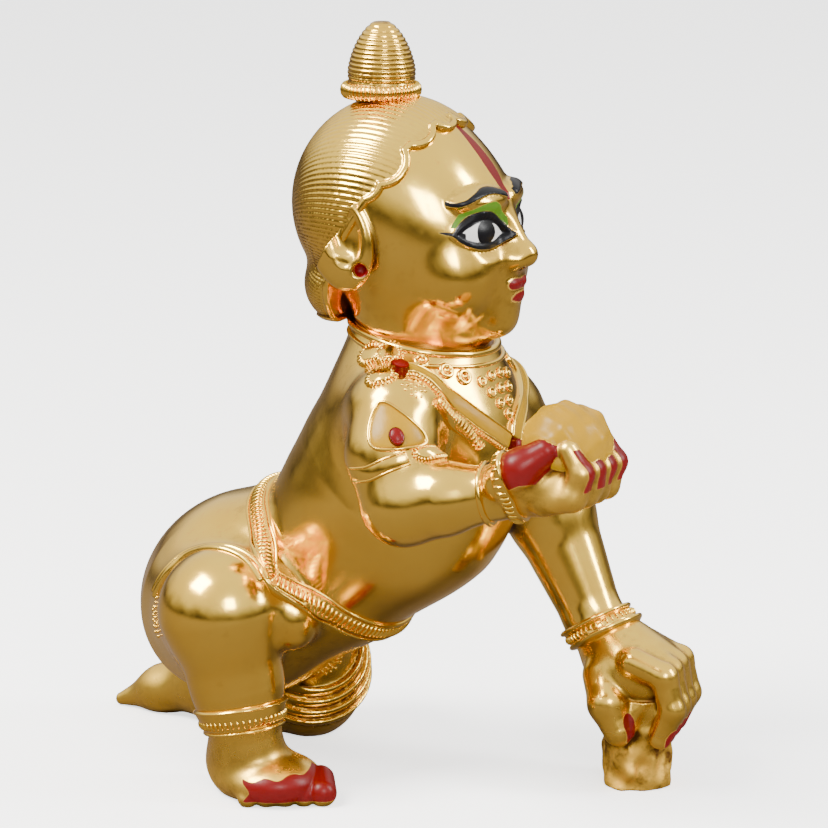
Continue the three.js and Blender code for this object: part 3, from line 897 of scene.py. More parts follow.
def addNode(tree, kind, links=(), **settings):
    node = tree.nodes.new(kind)
    for key, value in settings.items():
        setattr(node, key, value)
    for socket, source in dict(links).items():
        target = node.inputs[socket]
        if isinstance(source, bpy.types.NodeSocket):
            tree.links.new(source, target)
        else:
            target.default_value = source
    return node


def finishTree(tree, inner, result):
    realized = addNode(tree, "GeometryNodeRealizeInstances", {"Geometry": result})
    smoothed = addNode(tree, "GeometryNodeSetShadeSmooth", {"Geometry": realized.outputs[0]})
    painted = addNode(tree, "GeometryNodeSetMaterial", {
        "Geometry": smoothed.outputs[0], "Material": inner.outputs["Metal"]})
    out = tree.nodes.new("NodeGroupOutput")
    tree.links.new(painted.outputs[0], out.inputs[0])


def studTree():
    tree = newTree("studs")
    addInput(tree, "Width", "Float", 1.0)
    addInput(tree, "Length", "Float", 1.0)
    addInput(tree, "Height", "Float", 1.0)
    addInput(tree, "Sides", "Int", 8)
    addInput(tree, "Metal", "Material")
    inner = tree.nodes.new("NodeGroupInput")
    ball = addNode(tree, "GeometryNodeMeshUVSphere", {
        "Segments": inner.outputs["Sides"], "Rings": 6, "Radius": 0.5})
    facing = addNode(tree, "GeometryNodeInputNamedAttribute", {"Name": "facing"}, data_type="FLOAT_VECTOR")
    along = addNode(tree, "GeometryNodeInputNamedAttribute", {"Name": "along"}, data_type="FLOAT_VECTOR")
    size = addNode(tree, "GeometryNodeInputNamedAttribute", {"Name": "size"}, data_type="FLOAT")
    upright = addNode(tree, "FunctionNodeAlignRotationToVector", {"Vector": facing.outputs[0]}, axis="Z")
    turned = addNode(tree, "FunctionNodeAlignRotationToVector",
                     {"Rotation": upright.outputs[0], "Vector": along.outputs[0]}, axis="X", pivot_axis="Z")
    sizes = addNode(tree, "ShaderNodeCombineXYZ", {"X": inner.outputs["Length"], "Y": inner.outputs["Width"],
                                                   "Z": inner.outputs["Height"]})
    scaled = addNode(tree, "ShaderNodeVectorMath", {0: sizes.outputs[0], "Scale": size.outputs[0]},
                     operation="SCALE")
    placed = addNode(tree, "GeometryNodeInstanceOnPoints", {
        "Points": inner.outputs["Geometry"], "Instance": ball.outputs["Mesh"],
        "Rotation": turned.outputs[0], "Scale": scaled.outputs[0]})
    finishTree(tree, inner, placed.outputs[0])
    return tree


def beadTree():
    tree = newTree("ringBeads")
    addInput(tree, "Radius", "Float", 1.0)
    addInput(tree, "Thickness", "Float", 0.3)
    addInput(tree, "Dimple", "Float", 0.4)
    addInput(tree, "Metal", "Material")
    inner = tree.nodes.new("NodeGroupInput")
    circle = "GeometryNodeCurvePrimitiveCircle"
    ring = addNode(tree, circle, {"Resolution": 20, "Radius": inner.outputs["Radius"]})
    wire = addNode(tree, circle, {"Resolution": 8, "Radius": inner.outputs["Thickness"]})
    loop = addNode(tree, "GeometryNodeCurveToMesh", {
        "Curve": ring.outputs[0], "Profile Curve": wire.outputs[0]})
    pip = addNode(tree, "GeometryNodeMeshUVSphere", {
        "Segments": 10, "Rings": 6, "Radius": inner.outputs["Dimple"]})
    both = tree.nodes.new("GeometryNodeJoinGeometry")
    tree.links.new(loop.outputs[0], both.inputs[0])
    tree.links.new(pip.outputs["Mesh"], both.inputs[0])
    facing = addNode(tree, "GeometryNodeInputNamedAttribute", {"Name": "facing"}, data_type="FLOAT_VECTOR")
    size = addNode(tree, "GeometryNodeInputNamedAttribute", {"Name": "size"}, data_type="FLOAT")
    upright = addNode(tree, "FunctionNodeAlignRotationToVector", {"Vector": facing.outputs[0]}, axis="Z")
    placed = addNode(tree, "GeometryNodeInstanceOnPoints", {
        "Points": inner.outputs["Geometry"], "Instance": both.outputs[0],
        "Rotation": upright.outputs[0], "Scale": size.outputs[0]})
    finishTree(tree, inner, placed.outputs[0])
    return tree


def stippleTree():
    tree = newTree("stipple")
    addInput(tree, "Spacing", "Float", 0.001)
    addInput(tree, "Dot Size", "Float", 0.0005)
    addInput(tree, "Flatness", "Float", 0.6)
    addInput(tree, "Seed", "Int", 3)
    addInput(tree, "Metal", "Material")
    inner = tree.nodes.new("NodeGroupInput")
    spread = addNode(tree, "GeometryNodeDistributePointsOnFaces", {
        "Mesh": inner.outputs["Geometry"], "Distance Min": inner.outputs["Spacing"], "Density Max": 3e7,
        "Seed": inner.outputs["Seed"]}, distribute_method="POISSON")
    dot = addNode(tree, "GeometryNodeMeshIcoSphere", {"Radius": 0.5, "Subdivisions": 1})
    sizes = addNode(tree, "ShaderNodeCombineXYZ", {
        "X": inner.outputs["Dot Size"], "Y": inner.outputs["Dot Size"]})
    flat = addNode(tree, "ShaderNodeMath", {0: inner.outputs["Dot Size"], 1: inner.outputs["Flatness"]},
                   operation="MULTIPLY")
    tree.links.new(flat.outputs[0], sizes.inputs["Z"])
    placed = addNode(tree, "GeometryNodeInstanceOnPoints", {
        "Points": spread.outputs["Points"], "Instance": dot.outputs["Mesh"],
        "Rotation": spread.outputs["Rotation"], "Scale": sizes.outputs[0]})
    finishTree(tree, inner, placed.outputs[0])
    return tree


def addAttribute(mesh, name, values, kind="FLOAT"):
    layer = mesh.attributes.new(name, kind, "POINT")
    layer.data.foreach_set("value" if kind == "FLOAT" else "vector", np.asarray(values, single).ravel())


def grown(name, source, tree, settings):
    modifier = source.modifiers.new("nodes", "NODES")
    modifier.node_group = tree
    for item in tree.interface.items_tree:
        if item.in_out == "INPUT" and item.name in settings:
            modifier[item.identifier] = settings[item.name]
    bpy.context.view_layer.update()
    ready = source.evaluated_get(bpy.context.evaluated_depsgraph_get())
    mesh = bpy.data.meshes.new_from_object(ready)
    mesh.name = name
    bpy.data.objects.remove(source)
    return link(name, mesh)


def pointsObject(places, facing, along, sizes):
    mesh = bpy.data.meshes.new("seats")
    mesh.from_pydata(inRow(places).tolist(), [], [])
    addAttribute(mesh, "facing", facing, "FLOAT_VECTOR")
    addAttribute(mesh, "along", along, "FLOAT_VECTOR")
    addAttribute(mesh, "size", np.broadcast_to(np.asarray(sizes, single), len(places)))
    return link("seats", mesh)


# Paint: how far a point lies inside each painted area, in millimetres over the skin
def facePaint(x, y, z):
    u, v = onChart(x, y, z)
    front = (x - 15.0) * 0.5
    almond = insideEye(u, v)
    upper, lower = lidLines(u)
    t = (u - eye["u"]) / eye["halfLength"]
    level = eye["v"] + eye["tilt"] * (u - eye["u"])
    liner = np.where(v > level, 0.62, 0.4) - np.abs(almond + 0.12)
    tailLine = np.abs(v - level - 0.12 * (u - eye["u"] - eye["halfLength"]))
    tail = np.minimum(0.34 - 0.09 * (u - eye["u"] - eye["halfLength"]) - tailLine,
                      np.minimum(u - eye["u"] - 2.9, eye["u"] + 6.3 - u))
    iris = np.minimum(eye["irisRadius"] - np.hypot(u - eye["u"] + 0.1, v - eye["v"] - 0.3), almond)
    browMask = 0.5 - 0.025 * np.abs(u - 3.5) - np.abs(v - browLine(u))
    browMask = np.minimum(browMask, np.minimum(u - 1.1, 11.0 - u))
    black = np.maximum(np.maximum(liner, tail), np.maximum(iris, browMask))
    lidTop = np.minimum(browLine(u) - 1.3, eye["v"] + 4.35 - 0.15 * (u - 5.7) ** 2 + 0.03 * u)
    lidLow = np.where(np.abs(t) < 1, upper, level) + 0.8
    green = np.minimum(np.minimum(lidTop - v, v - lidLow), u - 1.4)
    flame = 0.45 + 1.15 * smooth(77.0, 82.0, v) - 0.7 * smooth(83.5, 87.5, v)
    tilak = np.minimum(np.minimum(flame - u, v - 77.2), 88 - v)
    mouth = 0.22 - lipsForm()(x, y, z)
    bore = 1.05 - np.sqrt((x - 12.6) ** 2 + (np.abs(y) - 13.2) ** 2 + (z - 69.4) ** 2)
    return {
        "white": np.minimum(almond, front),
        "black": np.minimum(black, front),
        "green": np.minimum(green, front),
        "red": np.maximum(np.minimum(np.maximum(tilak, mouth), front), bore),
    }


def handPaint(x, y, z):
    ball = ladduForm()(x, y, z)
    thumb = limb(rightArm["thumb"], rightArm["thumbRadii"], 0.8)(x, y, z)
    fingers = np.full_like(x, -9)
    for path in rightFingers():
        fingers = np.maximum(fingers, 1.0 - np.abs(y - path[2][1]))
    fingers = np.minimum(np.minimum(fingers, x - 43.2), np.minimum(z - 45.6, 50.9 - z))
    red = np.maximum(np.minimum(0.3 - thumb, z - 46.3 + 0.5 * (38 - x) * (x < 38)), fingers)
    return {"yellow": 0.12 - ball, "red": np.where(ball < 0.1, -1, red)}


def fistPaint(x, y, z):
    red = np.full_like(x, -9)
    for fx, fy, fz in [leftArm["thumb"][2]] + [path[3] for path in leftFingers()]:
        away = np.sqrt((x - fx - 1.2) ** 2 + (y - fy) ** 2 * 1.3 + ((z - fz - 0.6) * 0.6) ** 2)
        red = np.maximum(red, 1.25 - away)
    return {"red": red}


def footPaint(x, y, z):
    along = (x - 3.4) * 0.88 + (y + 17.4) * 0.47  # from the middle toe to the big toe
    inward = (y + 17.4) * 0.88 - (x - 3.4) * 0.47  # from the toes to the heel
    back = 3.2 + 0.25 * np.sin(x * 2.1) - inward
    top = 4.2 + 0.1 * along + 0.2 * np.sin(along * 1.9) - z
    outer = along + 5.0 + 0.4 * np.sin(z * 2.2)
    return {"red": np.minimum(np.minimum(back, top), np.minimum(outer, z - 0.8))}


# Materials
def newGroup(name, inputs, outputs):
    group = bpy.data.node_groups.new(name, "ShaderNodeTree")
    for label, kind, value in inputs:
        made = group.interface.new_socket(label, in_out="INPUT", socket_type="NodeSocket" + kind)
        if value is not None:
            made.default_value = value
    for label, kind in outputs:
        group.interface.new_socket(label, in_out="OUTPUT", socket_type="NodeSocket" + kind)
    return group, group.nodes.new("NodeGroupInput"), group.nodes.new("NodeGroupOutput")


def noise(tree, scale, detail=3.0, roughness=0.55, stretch=None):
    coordinates = tree.nodes.new("ShaderNodeTexCoord").outputs["Object"]
    if stretch:
        coordinates = addNode(tree, "ShaderNodeMapping", {"Vector": coordinates, "Scale": stretch}).outputs[0]
    return addNode(tree, "ShaderNodeTexNoise", {"Vector": coordinates, "Scale": scale, "Detail": detail,
                                                "Roughness": roughness}).outputs["Fac"]


def mathNode(tree, operation, *values, clamp=False):
    node = tree.nodes.new("ShaderNodeMath")
    node.operation, node.use_clamp = operation, clamp
    for i, value in enumerate(values):
        if isinstance(value, bpy.types.NodeSocket):
            tree.links.new(value, node.inputs[i])
        else:
            node.inputs[i].default_value = value
    return node.outputs[0]


def mixColour(tree, fac, a, b, mode="MIX"):
    node = tree.nodes.new("ShaderNodeMix")
    node.data_type, node.blend_type = "RGBA", mode
    for index, value in ((0, fac), (6, a), (7, b)):
        if isinstance(value, bpy.types.NodeSocket):
            tree.links.new(value, node.inputs[index])
        else:
            node.inputs[index].default_value = value if index == 0 else (*value, 1)
    return node.outputs[2]


def mixValue(tree, fac, a, b):
    node = tree.nodes.new("ShaderNodeMix")
    for index, value in ((0, fac), (2, a), (3, b)):
        if isinstance(value, bpy.types.NodeSocket):
            tree.links.new(value, node.inputs[index])
        else:
            node.inputs[index].default_value = value
    return node.outputs[0]


def paintedEdgeGroup():
    group, inner, out = newGroup("paintedEdge", [("Inside", "Float", 0.0), ("Wobble", "Float", 0.12)],
                                 [("Mask", "Float")])
    wobble = mathNode(group, "SUBTRACT", noise(group, 900, 2), 0.5)
    wobble = mathNode(group, "MULTIPLY", wobble, inner.outputs["Wobble"])
    edge = mathNode(group, "ADD", inner.outputs["Inside"], wobble)
    known = mathNode(group, "GREATER_THAN", mathNode(group, "ABSOLUTE", inner.outputs["Inside"]), 1e-6)
    mask = mathNode(group, "MULTIPLY", mathNode(group, "MULTIPLY", edge, 14.0, clamp=True), known)
    group.links.new(mask, out.inputs["Mask"])
    return group


# The dark tone serves both patina in hollows and painted shade where the form closes in
brassTones = {"bright": (0.97, 0.63, 0.095), "deep": (0.90, 0.52, 0.06), "tarnishAndShade": (0.14, 0.06, 0.014)}


def brassGroup():
    group, inner, out = newGroup(
        "castBrass",
        [("Cavity", "Float", 0.0), ("Shade", "Float", 0.0), ("Rough", "Float", 0.0)],
        [("Color", "Color"), ("Roughness", "Float"), ("Height", "Float")])
    broad = noise(group, 90, 3)
    fleck = noise(group, 700, 4, 0.65)
    grain = noise(group, 2600, 3, 0.7)
    drift = mathNode(group, "MULTIPLY", mathNode(group, "SUBTRACT", broad, 0.4), 2.0, clamp=True)
    tone = mixColour(group, drift, brassTones["bright"], brassTones["deep"])
    flecks = mathNode(group, "MULTIPLY", mathNode(group, "SUBTRACT", fleck, 0.62), 1.2)
    # Darkening: patina in small hollows from Cavity, painted shade where the form closes in from Shade,
    # tarnish patches where Rough is high
    patinaPlusPaintedShade = mathNode(group, "MULTIPLY_ADD", inner.outputs["Cavity"], 1.6, flecks, clamp=True)
    patinaPlusPaintedShade = mathNode(group, "MULTIPLY_ADD", inner.outputs["Shade"], 0.35, patinaPlusPaintedShade, clamp=True)
    patches = mathNode(group, "SUBTRACT", noise(group, 330, 4, 0.6), 0.45)
    patches = mathNode(group, "MULTIPLY", patches, 4.0, clamp=True)
    patina = mathNode(group, "MULTIPLY", patches, inner.outputs["Rough"])
    patinaPlusPaintedShade = mathNode(group, "MULTIPLY_ADD", patina, 0.55, patinaPlusPaintedShade, clamp=True)
    dark = mixColour(group, patinaPlusPaintedShade, tone, brassTones["tarnishAndShade"])
    group.links.new(dark, out.inputs["Color"])
    matt = mathNode(group, "MULTIPLY_ADD", fleck, 0.12, 0.085)
    matt = mathNode(group, "MULTIPLY_ADD", inner.outputs["Rough"], 0.26, matt)
    group.links.new(mathNode(group, "MULTIPLY_ADD", patinaPlusPaintedShade, 0.25, matt), out.inputs["Roughness"])
    pits = mathNode(group, "MULTIPLY_ADD", grain, 0.35, fleck)
    soft = mathNode(group, "MULTIPLY", noise(group, 260, 2), 0.35)
    group.links.new(mathNode(group, "MULTIPLY_ADD", pits, inner.outputs["Rough"], soft), out.inputs["Height"])
    return group


enamel = {
    "yellow": (0.31, 0.165, 0.0),
    "red": (0.115, 0.0005, 0.0005),
    "green": (0.055, 0.135, 0.003),
    "white": (0.55, 0.54, 0.52),
    "black": (0.003, 0.003, 0.004),
}


def attribute(tree, name):
    node = tree.nodes.new("ShaderNodeAttribute")
    node.attribute_name = name
    return node.outputs["Fac"]


def grouped(tree, group, **values):
    node = tree.nodes.new("ShaderNodeGroup")
    node.node_tree = group
    for label, value in values.items():
        if isinstance(value, bpy.types.NodeSocket):
            tree.links.new(value, node.inputs[label])
        else:
            node.inputs[label].default_value = value
    return node


castBrass, paintedEdge = brassGroup(), paintedEdgeGroup()


def skinMaterial():
    material = bpy.data.materials.new("brassSkin")
    material.use_nodes = True
    tree = material.node_tree
    shader = tree.nodes["Principled BSDF"]
    metal = grouped(tree, castBrass, Cavity=attribute(tree, "cavity"), Shade=attribute(tree, "shade"),
                    Rough=attribute(tree, "rough"))
    colour, painted = metal.outputs["Color"], 0.0
    tired = noise(tree, 500, 3)
    for name, shadeOf in enamel.items():
        mask = grouped(tree, paintedEdge, Inside=attribute(tree, name)).outputs["Mask"]
        worn = tuple(v * 0.6 for v in shadeOf)
        tinted = mixColour(tree, mathNode(tree, "MULTIPLY", tired, 0.5), shadeOf, worn)
        colour = mixColour(tree, mask, colour, tinted)
        painted = mathNode(tree, "MAXIMUM", painted, mask)
    shader.inputs["Specular IOR Level"].default_value = 0.2
    tree.links.new(colour, shader.inputs["Base Color"])
    tree.links.new(mathNode(tree, "SUBTRACT", 1.0, painted), shader.inputs["Metallic"])
    tree.links.new(mixValue(tree, painted, metal.outputs["Roughness"], 0.34), shader.inputs["Roughness"])
    bump = addNode(tree, "ShaderNodeBump", {
        "Height": metal.outputs["Height"], "Strength": 0.35, "Distance": 0.00012})
    tree.links.new(bump.outputs[0], shader.inputs["Normal"])
    return material


def enamelMaterial(name, colour):
    material = bpy.data.materials.new(name)
    material.use_nodes = True
    tree = material.node_tree
    shader = tree.nodes["Principled BSDF"]
    tired = mathNode(tree, "SUBTRACT", noise(tree, 600, 4, 0.6), 0.35)
    tired = mathNode(tree, "MULTIPLY", tired, 1.4, clamp=True)
    worn = tuple(v * 0.72 for v in colour)
    tree.links.new(mixColour(tree, tired, colour, worn), shader.inputs["Base Color"])
    shader.inputs["Roughness"].default_value = 0.32
    shader.inputs["Specular IOR Level"].default_value = 0.2
    bump = addNode(tree, "ShaderNodeBump", {
        "Height": noise(tree, 1300, 3), "Strength": 0.3, "Distance": 0.0001})
    tree.links.new(bump.outputs[0], shader.inputs["Normal"])
    return material


brass = skinMaterial()
yellowEnamel = enamelMaterial("yellowEnamel", enamel["yellow"])
redEnamel = enamelMaterial("redEnamel", enamel["red"])
report("materials ready")


# The casting in its pieces
def pieceMesh(name, points, quads, form, paint, roughness):
    mesh = bpy.data.meshes.new(name)
    mesh.vertices.add(len(points))
    mesh.vertices.foreach_set("co", inRow(points).astype(single).ravel())
    mesh.loops.add(quads.size)
    mesh.loops.foreach_set("vertex_index", quads.astype(np.int32).ravel())
    mesh.polygons.add(len(quads))
    mesh.polygons.foreach_set("loop_start", np.arange(0, quads.size, 4, dtype=np.int32))
    mesh.polygons.foreach_set("loop_total", np.full(len(quads), 4, np.int32))
    mesh.update(calc_edges=True)
    mesh.validate()
    mesh.shade_smooth()
    mesh.materials.append(brass)
    facing = facingAt(form, points)
    # cavity: how deep a point sits in a small hollow, darkened as patina; shade: how closed in the form is
    # over 2 mm, darkened as painted shade
    cavity = 1 - valuesAt(form, points + facing * 0.35) / 0.35
    shade = 1 - valuesAt(form, points + facing * 2.0) / 2.0
    addAttribute(mesh, "cavity", np.clip(cavity, 0, 1))
    addAttribute(mesh, "shade", np.clip(shade, 0, 1))
    x, y, z = np.ascontiguousarray(points.T, single)
    addAttribute(mesh, "rough", roughness(x, y, z))
    for key, inside in paint(x, y, z).items() if paint else ():
        addAttribute(mesh, key, inside)
    report(f"{name}: {len(quads) * 2} triangles")
    return link(name, mesh)


def ridden(thing, *nodes):
    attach(thing, "root")
    if nodes:
        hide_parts(*nodes)
    return thing


def polished(x, y, z):
    return np.zeros_like(x)


def roughHand(x, y, z):
    return np.clip(0.75 + (48 - z) * 0.05, 0, 1) * smooth(33.5, 36, x)


def roughFist(x, y, z):
    return 0.25 + 1.5 * (1 - smooth(6, 9, z))


def roughFoot(x, y, z):
    return 0.35 + 0.65 * smooth(6, 2, z)


def roughBody(x, y, z):
    return 0.06 + 0.5 * smooth(-12, -20, x) * smooth(12, 6, z)


neck, rightWrist, leftWrist, ankle = (beyond(name) for name in cuts)
chestSides = [(neck, -1), (belt, 1), (rightWrist, -1), (leftWrist, -1)]
headSides, handSides = [(neck, 1), (underHair, -1)], [(rightWrist, 1)]
pieces = {
    "idol_topknot": (topknotForm(), [], (2, -7, 84), (17, 7, 100), 0.15, None, polished),
    "idol_hair": (hairForm(), [], (-4, -15, 58), (22, 15, 91), 0.2, None, polished),
    "idol_head": (faceForm(), headSides, (2, -16, 56), (33, 16, 88), 0.21, facePaint, polished),
    "idol_chest": (whole, chestSides, (-8, -26, 15), (42, 24, 62), 0.36, None, roughBody),
    "idol_right_hand": (rightHandForm(), handSides, (30, -25, 38), (52, -4, 58), 0.17, handPaint, roughHand),
    "idol_left_hand": (whole, [(leftWrist, 1)], (28, -2, -1), (52, 24, 24), 0.19, fistPaint, roughFist),
    "idol_hips": (whole, [(belt, -1), (ankle, -1)], (-42, -28, -1), (16, 24, 44), 0.33, None, roughBody),
    "idol_right_foot": (whole, [(ankle, 1)], (-14, -30, -1), (14, -4, 16), 0.17, footPaint, roughFoot),
}
for name, (form, sides, low, high, cell, paint, roughness) in pieces.items():
    shaped = kept(form, *sides)
    points, quads = surfaceOf(shaped, low, high, cell * (1))
    ridden(pieceMesh(name, points, quads, form, paint, roughness), "idol")


# Rings and bands
studs, beads, stipple = studTree(), beadTree(), stippleTree()


def ringOf(cut, shift=0.0, count=240):
    centre, pitch, yaw = cut
    path = hoopPath(np.array(centre) + np.array(axesOf(pitch, yaw)[0]) * shift, pitch, yaw, count)
    return path, facingAt(whole, path.astype(single))


def studRow(name, rows, width, length, height, sides=8):
    places, facing, along = (np.concatenate([row[k] for row in rows]) for k in range(3))
    source = pointsObject(places, facing, along, 1.0)
    made = grown(name, source, studs, {
        "Width": width / 1000, "Length": length / 1000, "Height": height / 1000, "Sides": sides,
        "Metal": brass})
    return ridden(made)


def rowOn(path, facing, count, closed, lift=0.0):
    seats = evenly(path, count, closed)
    run = tangents(seats, closed)
    nearest = ((seats[:, None] - path[None]) ** 2).sum(2).argmin(1)
    return seats + facing[nearest] * lift, facing[nearest], run


def ringPiece(name, rings):
    parts = []
    for cut, shift, width, height, kind in rings:
        path, facing = ringOf(cut, shift)
        profile = (roundProfile if kind == "round" else flatProfile)(width, height, 0.6)
        parts.append(band(path, facing, profile, True))
    return ridden(meshOf(name, parts, brass))


ringPiece("collar", [(cuts["neck"], 0.0, 1.0, 0.5, "round"), (cuts["neck"], -1.3, 0.6, 0.35, "round")])
ringPiece("wrist_rings", [(cuts["rightWrist"], 0.0, 1.9, 0.55, "flat"),
                          (((31.6, -17.1, 43.6), 10, 7), 0.0, 0.8, 0.5, "round")])
ringPiece("bangle_rims", [(cuts["leftWrist"], -1.05, 0.8, 0.9, "round"),
                          (cuts["leftWrist"], 1.05, 0.8, 0.9, "round"),
                          (cuts["leftWrist"], 0.0, 1.6, 0.5, "flat")])
ringPiece("anklet_band", [(cuts["rightAnkle"], 0.0, 3.2, 0.4, "flat"),
                          (cuts["rightAnkle"], -1.5, 0.5, 0.6, "round"),
                          (cuts["rightAnkle"], 1.5, 0.5, 0.6, "round")])
report("rings done")
for name, cut, shift, count, width, length, height in (
        ("wrist_ribs", cuts["rightWrist"], 0.0, 34, 1.9, 0.5, 1.6),
        ("bangle_ribs", cuts["leftWrist"], 0.0, 40, 1.4, 0.42, 1.5),
        ("anklet_ribs", cuts["rightAnkle"], 0.3, 46, 1.5, 0.5, 1.3)):
    path, facing = ringOf(cut, shift)
    studRow(name, [rowOn(path, facing, count, True, 0.1)], width, length, height)


waistbelt = {"cut": ((-0.2, 0, 31.0), 45, 0), "width": 2.4, "rim": 1.55, "bridge": 2.5, "ribs": 116}


def beltBands():
    path = hoopPath(*waistbelt["cut"], 300, bridge=waistbelt["bridge"])
    facing = facingAt(whole, path.astype(single))
    for _ in range(14):
        facing = (np.roll(facing, 1, 0) + 2 * facing + np.roll(facing, -1, 0)) / 4
    facing /= np.linalg.norm(facing, axis=1, keepdims=True)
    side = np.cross(facing, tangents(path, True))
    parts = [band(path, facing, flatProfile(waistbelt["width"], 0.35, 2.2), True)]
    for edge in (-1, 1):
        parts.append(band(path + side * edge * waistbelt["rim"], facing, roundProfile(0.5, 0.45, 1.8), True))
    ridden(meshOf("belt_rims", parts, brass))
    studRow("belt_ribs", [rowOn(path, facing, waistbelt["ribs"], True, 0.1)], 2.3, 0.55, 1.5)


def topknotRibs():
    turn = np.arange(0, 2 * math.pi, math.pi / 24)
    facing = np.stack([np.cos(turn), np.sin(turn), 0 * turn], 1)
    seats = np.array((9.0, 0, 90.1)) + facing * 4.45
    studRow("topknot_ribs", [(seats, facing, tangents(seats, True))], 2.1, 0.5, 1.5)


def hemBands():
    path = skinPath(cloth["hem"], 80)
    side = np.cross(facingAt(whole, path.astype(single)), tangents(path, False))
    parts = []
    for shift in (0, cloth["hemGap"]):
        line = settled(path + side * shift)
        profile = roundProfile(cloth["hemWidth"], cloth["hemHeight"], 0.6)
        parts.append(band(line, facingAt(whole, line.astype(single)), profile, False))
    ridden(meshOf("hem_bands", parts, brass))


beltBands()
topknotRibs()
hemBands()
report("ribs and hems done")


# Plates: leaves, bosses and nails that lie on the skin
def plate(outline, height, form=whole, bevel=0.25, rings=5, dome=0.5, sink=0.5):
    edge = settled(rounded(outline, True, 8), form)
    middle = settled(edge.mean(0)[None], form)[0]
    facing = facingAt(form, edge.astype(single))
    reach = np.linalg.norm(edge - middle, axis=1).mean()
    rows = [edge - facing * sink, edge + facing * height * 0.35]
    for k in range(rings):
        share = 1 - (bevel / reach) * (k == 0) - (k / rings) * (k > 0)
        ring = settled(middle + (edge - middle) * share, form)
        up = facingAt(form, ring.astype(single))
        rows.append(ring + up * height * (1 + dome * (1 - share ** 2)))
    count = len(edge)
    crown = middle[None] + facingAt(form, middle[None].astype(single)) * height * (1 + dome)
    points = np.concatenate(rows + [crown, middle[None] - facing.mean(0) * sink])
    faces = []
    for row in range(len(rows) - 1):
        for k in range(count):
            m = (k + 1) % count
            faces.append((row * count + k, row * count + m, (row + 1) * count + m, (row + 1) * count + k))
    top, bottom, last = len(points) - 2, len(points) - 1, (len(rows) - 1) * count
    for k in range(count):
        m = (k + 1) % count
        faces.append((last + k, last + m, top))
        faces.append((m, k, bottom))
    if np.cross(edge[1] - edge[0], middle - edge[0]) @ facing.mean(0) < 0:
        faces = [face[::-1] for face in faces]
    return points, faces


def plates(name, shapes, metal):
    return ridden(meshOf(name, [plate(outline, height) for outline, height in shapes], metal))


def oval(centre, width, length, turn=0.0, count=10):
    centre = settled([centre])[0]
    facing = facingAt(whole, centre[None].astype(single))[0]
    right = np.cross((0, 0, 1), facing)
    right /= np.linalg.norm(right)
    up = np.cross(facing, right)
    t = np.arange(count) * 2 * math.pi / count
    a, b = np.cos(t) * width / 2, np.sin(t) * length / 2
    c, d = math.cos(math.radians(turn)), math.sin(math.radians(turn))
    return [centre + right * (p * c - q * d) + up * (p * d + q * c) for p, q in zip(a, b)]


def lens(points, width, count=7):
    path = skinPath(points, count)
    side = np.cross(facingAt(whole, path.astype(single)), tangents(path, False))
    spread = np.sin(np.linspace(0.12, math.pi - 0.12, count))[:, None] * width / 2
    return list(path + side * spread) + list((path - side * spread)[::-1])


def rim(outline, width, height):
    line = settled(evenly(rounded(outline, True), 72, True))
    return band(line, facingAt(whole, line.astype(single)), roundProfile(width, height, 0.5), True)


def edgeRow(outline, count):
    line = settled(evenly(rounded(outline, True), 72, True))
    return rowOn(line, facingAt(whole, line.astype(single)), count, True, 0.1)


# Garland, necklace and pendant
garland = {
    "right": [(18.6, -13.9, 57.2), (19.8, -12.7, 57.1), (22.4, -11.1, 54.7), (24.3, -8.5, 51.9),
              (26.2, -6.2, 49.6), (28.0, -3.0, 46.9)],
    "left": [(28.2, -1.3, 46.9), (28.0, -0.4, 48.3), (27.4, 2.2, 49.8), (25.6, 6.8, 51.0), (22.6, 10.6, 51.9),
             (18.4, 13.4, 52.6)],
    "width": 1.75,
    "height": 0.5,
    "rimWidth": 0.42,
    "notches": 22,
}


def garlandBands():
    yellow, rims, rows = [], [], []
    for key in ("right", "left"):
        path = skinPath(garland[key], 90)
        facing = facingAt(whole, path.astype(single))
        side = np.cross(facing, tangents(path, False))
        yellow.append(band(path, facing, flatProfile(garland["width"], garland["height"], 0.7), False))
        for edge in (-1, 1):
            line = settled(path + side * edge * (garland["width"] / 2 + 0.15))
            rims.append(band(line, facingAt(whole, line.astype(single)),
                             roundProfile(garland["rimWidth"], garland["height"] + 0.1, 0.5), False))
        low = -1 if side[45][2] > 0 else 1
        line = settled(path + side * low * (garland["width"] / 2 + 0.45))
        rows.append(rowOn(line, facingAt(whole, line.astype(single)), garland["notches"] * 2, False, 0.1))
    ridden(meshOf("garland_enamel", yellow, yellowEnamel))
    ridden(meshOf("garland_rims", rims, brass))
    studRow("garland_notches", rows, 0.75, 0.42, 0.7, 6)


garlandBands()

necklace = {
    "string": [(19.3, -10.1, 57.8), (22.0, -8.5, 56.5), (23.6, -6.7, 55.5)],
    "cluster": [(-4.4, 54.6), (-2.3, 55.0), (0.0, 55.0), (2.1, 54.6), (-3.4, 53.1), (-1.2, 53.3), (1.0, 53.1),
                (-2.4, 51.6), (-0.2, 51.6), (-1.3, 50.1)],
}


def frontPoint(y, z):
    steps = np.arange(40, 8, -0.1)
    points = np.stack([steps, np.full_like(steps, y), np.full_like(steps, z)], 1)
    return points[np.argmax(valuesAt(whole, points) < 0)]


def necklaceBeads():
    large = necklace["string"] + [(x, -y, z - 0.3) for x, y, z in necklace["string"]]
    seats = settled(large + [frontPoint(y, z) for y, z in necklace["cluster"]])
    sizes = np.array([1.25] * len(large) + [0.88] * len(necklace["cluster"]), single)
    facing = facingAt(whole, seats.astype(single))
    source = pointsObject(seats + facing * 0.1, facing, facing, 1.0)
    source.data.attributes["size"].data.foreach_set("value", sizes)
    made = grown("necklace_beads", source, beads,
                 {"Radius": 0.00062, "Thickness": 0.00026, "Dimple": 0.00034, "Metal": brass})
    ridden(made)


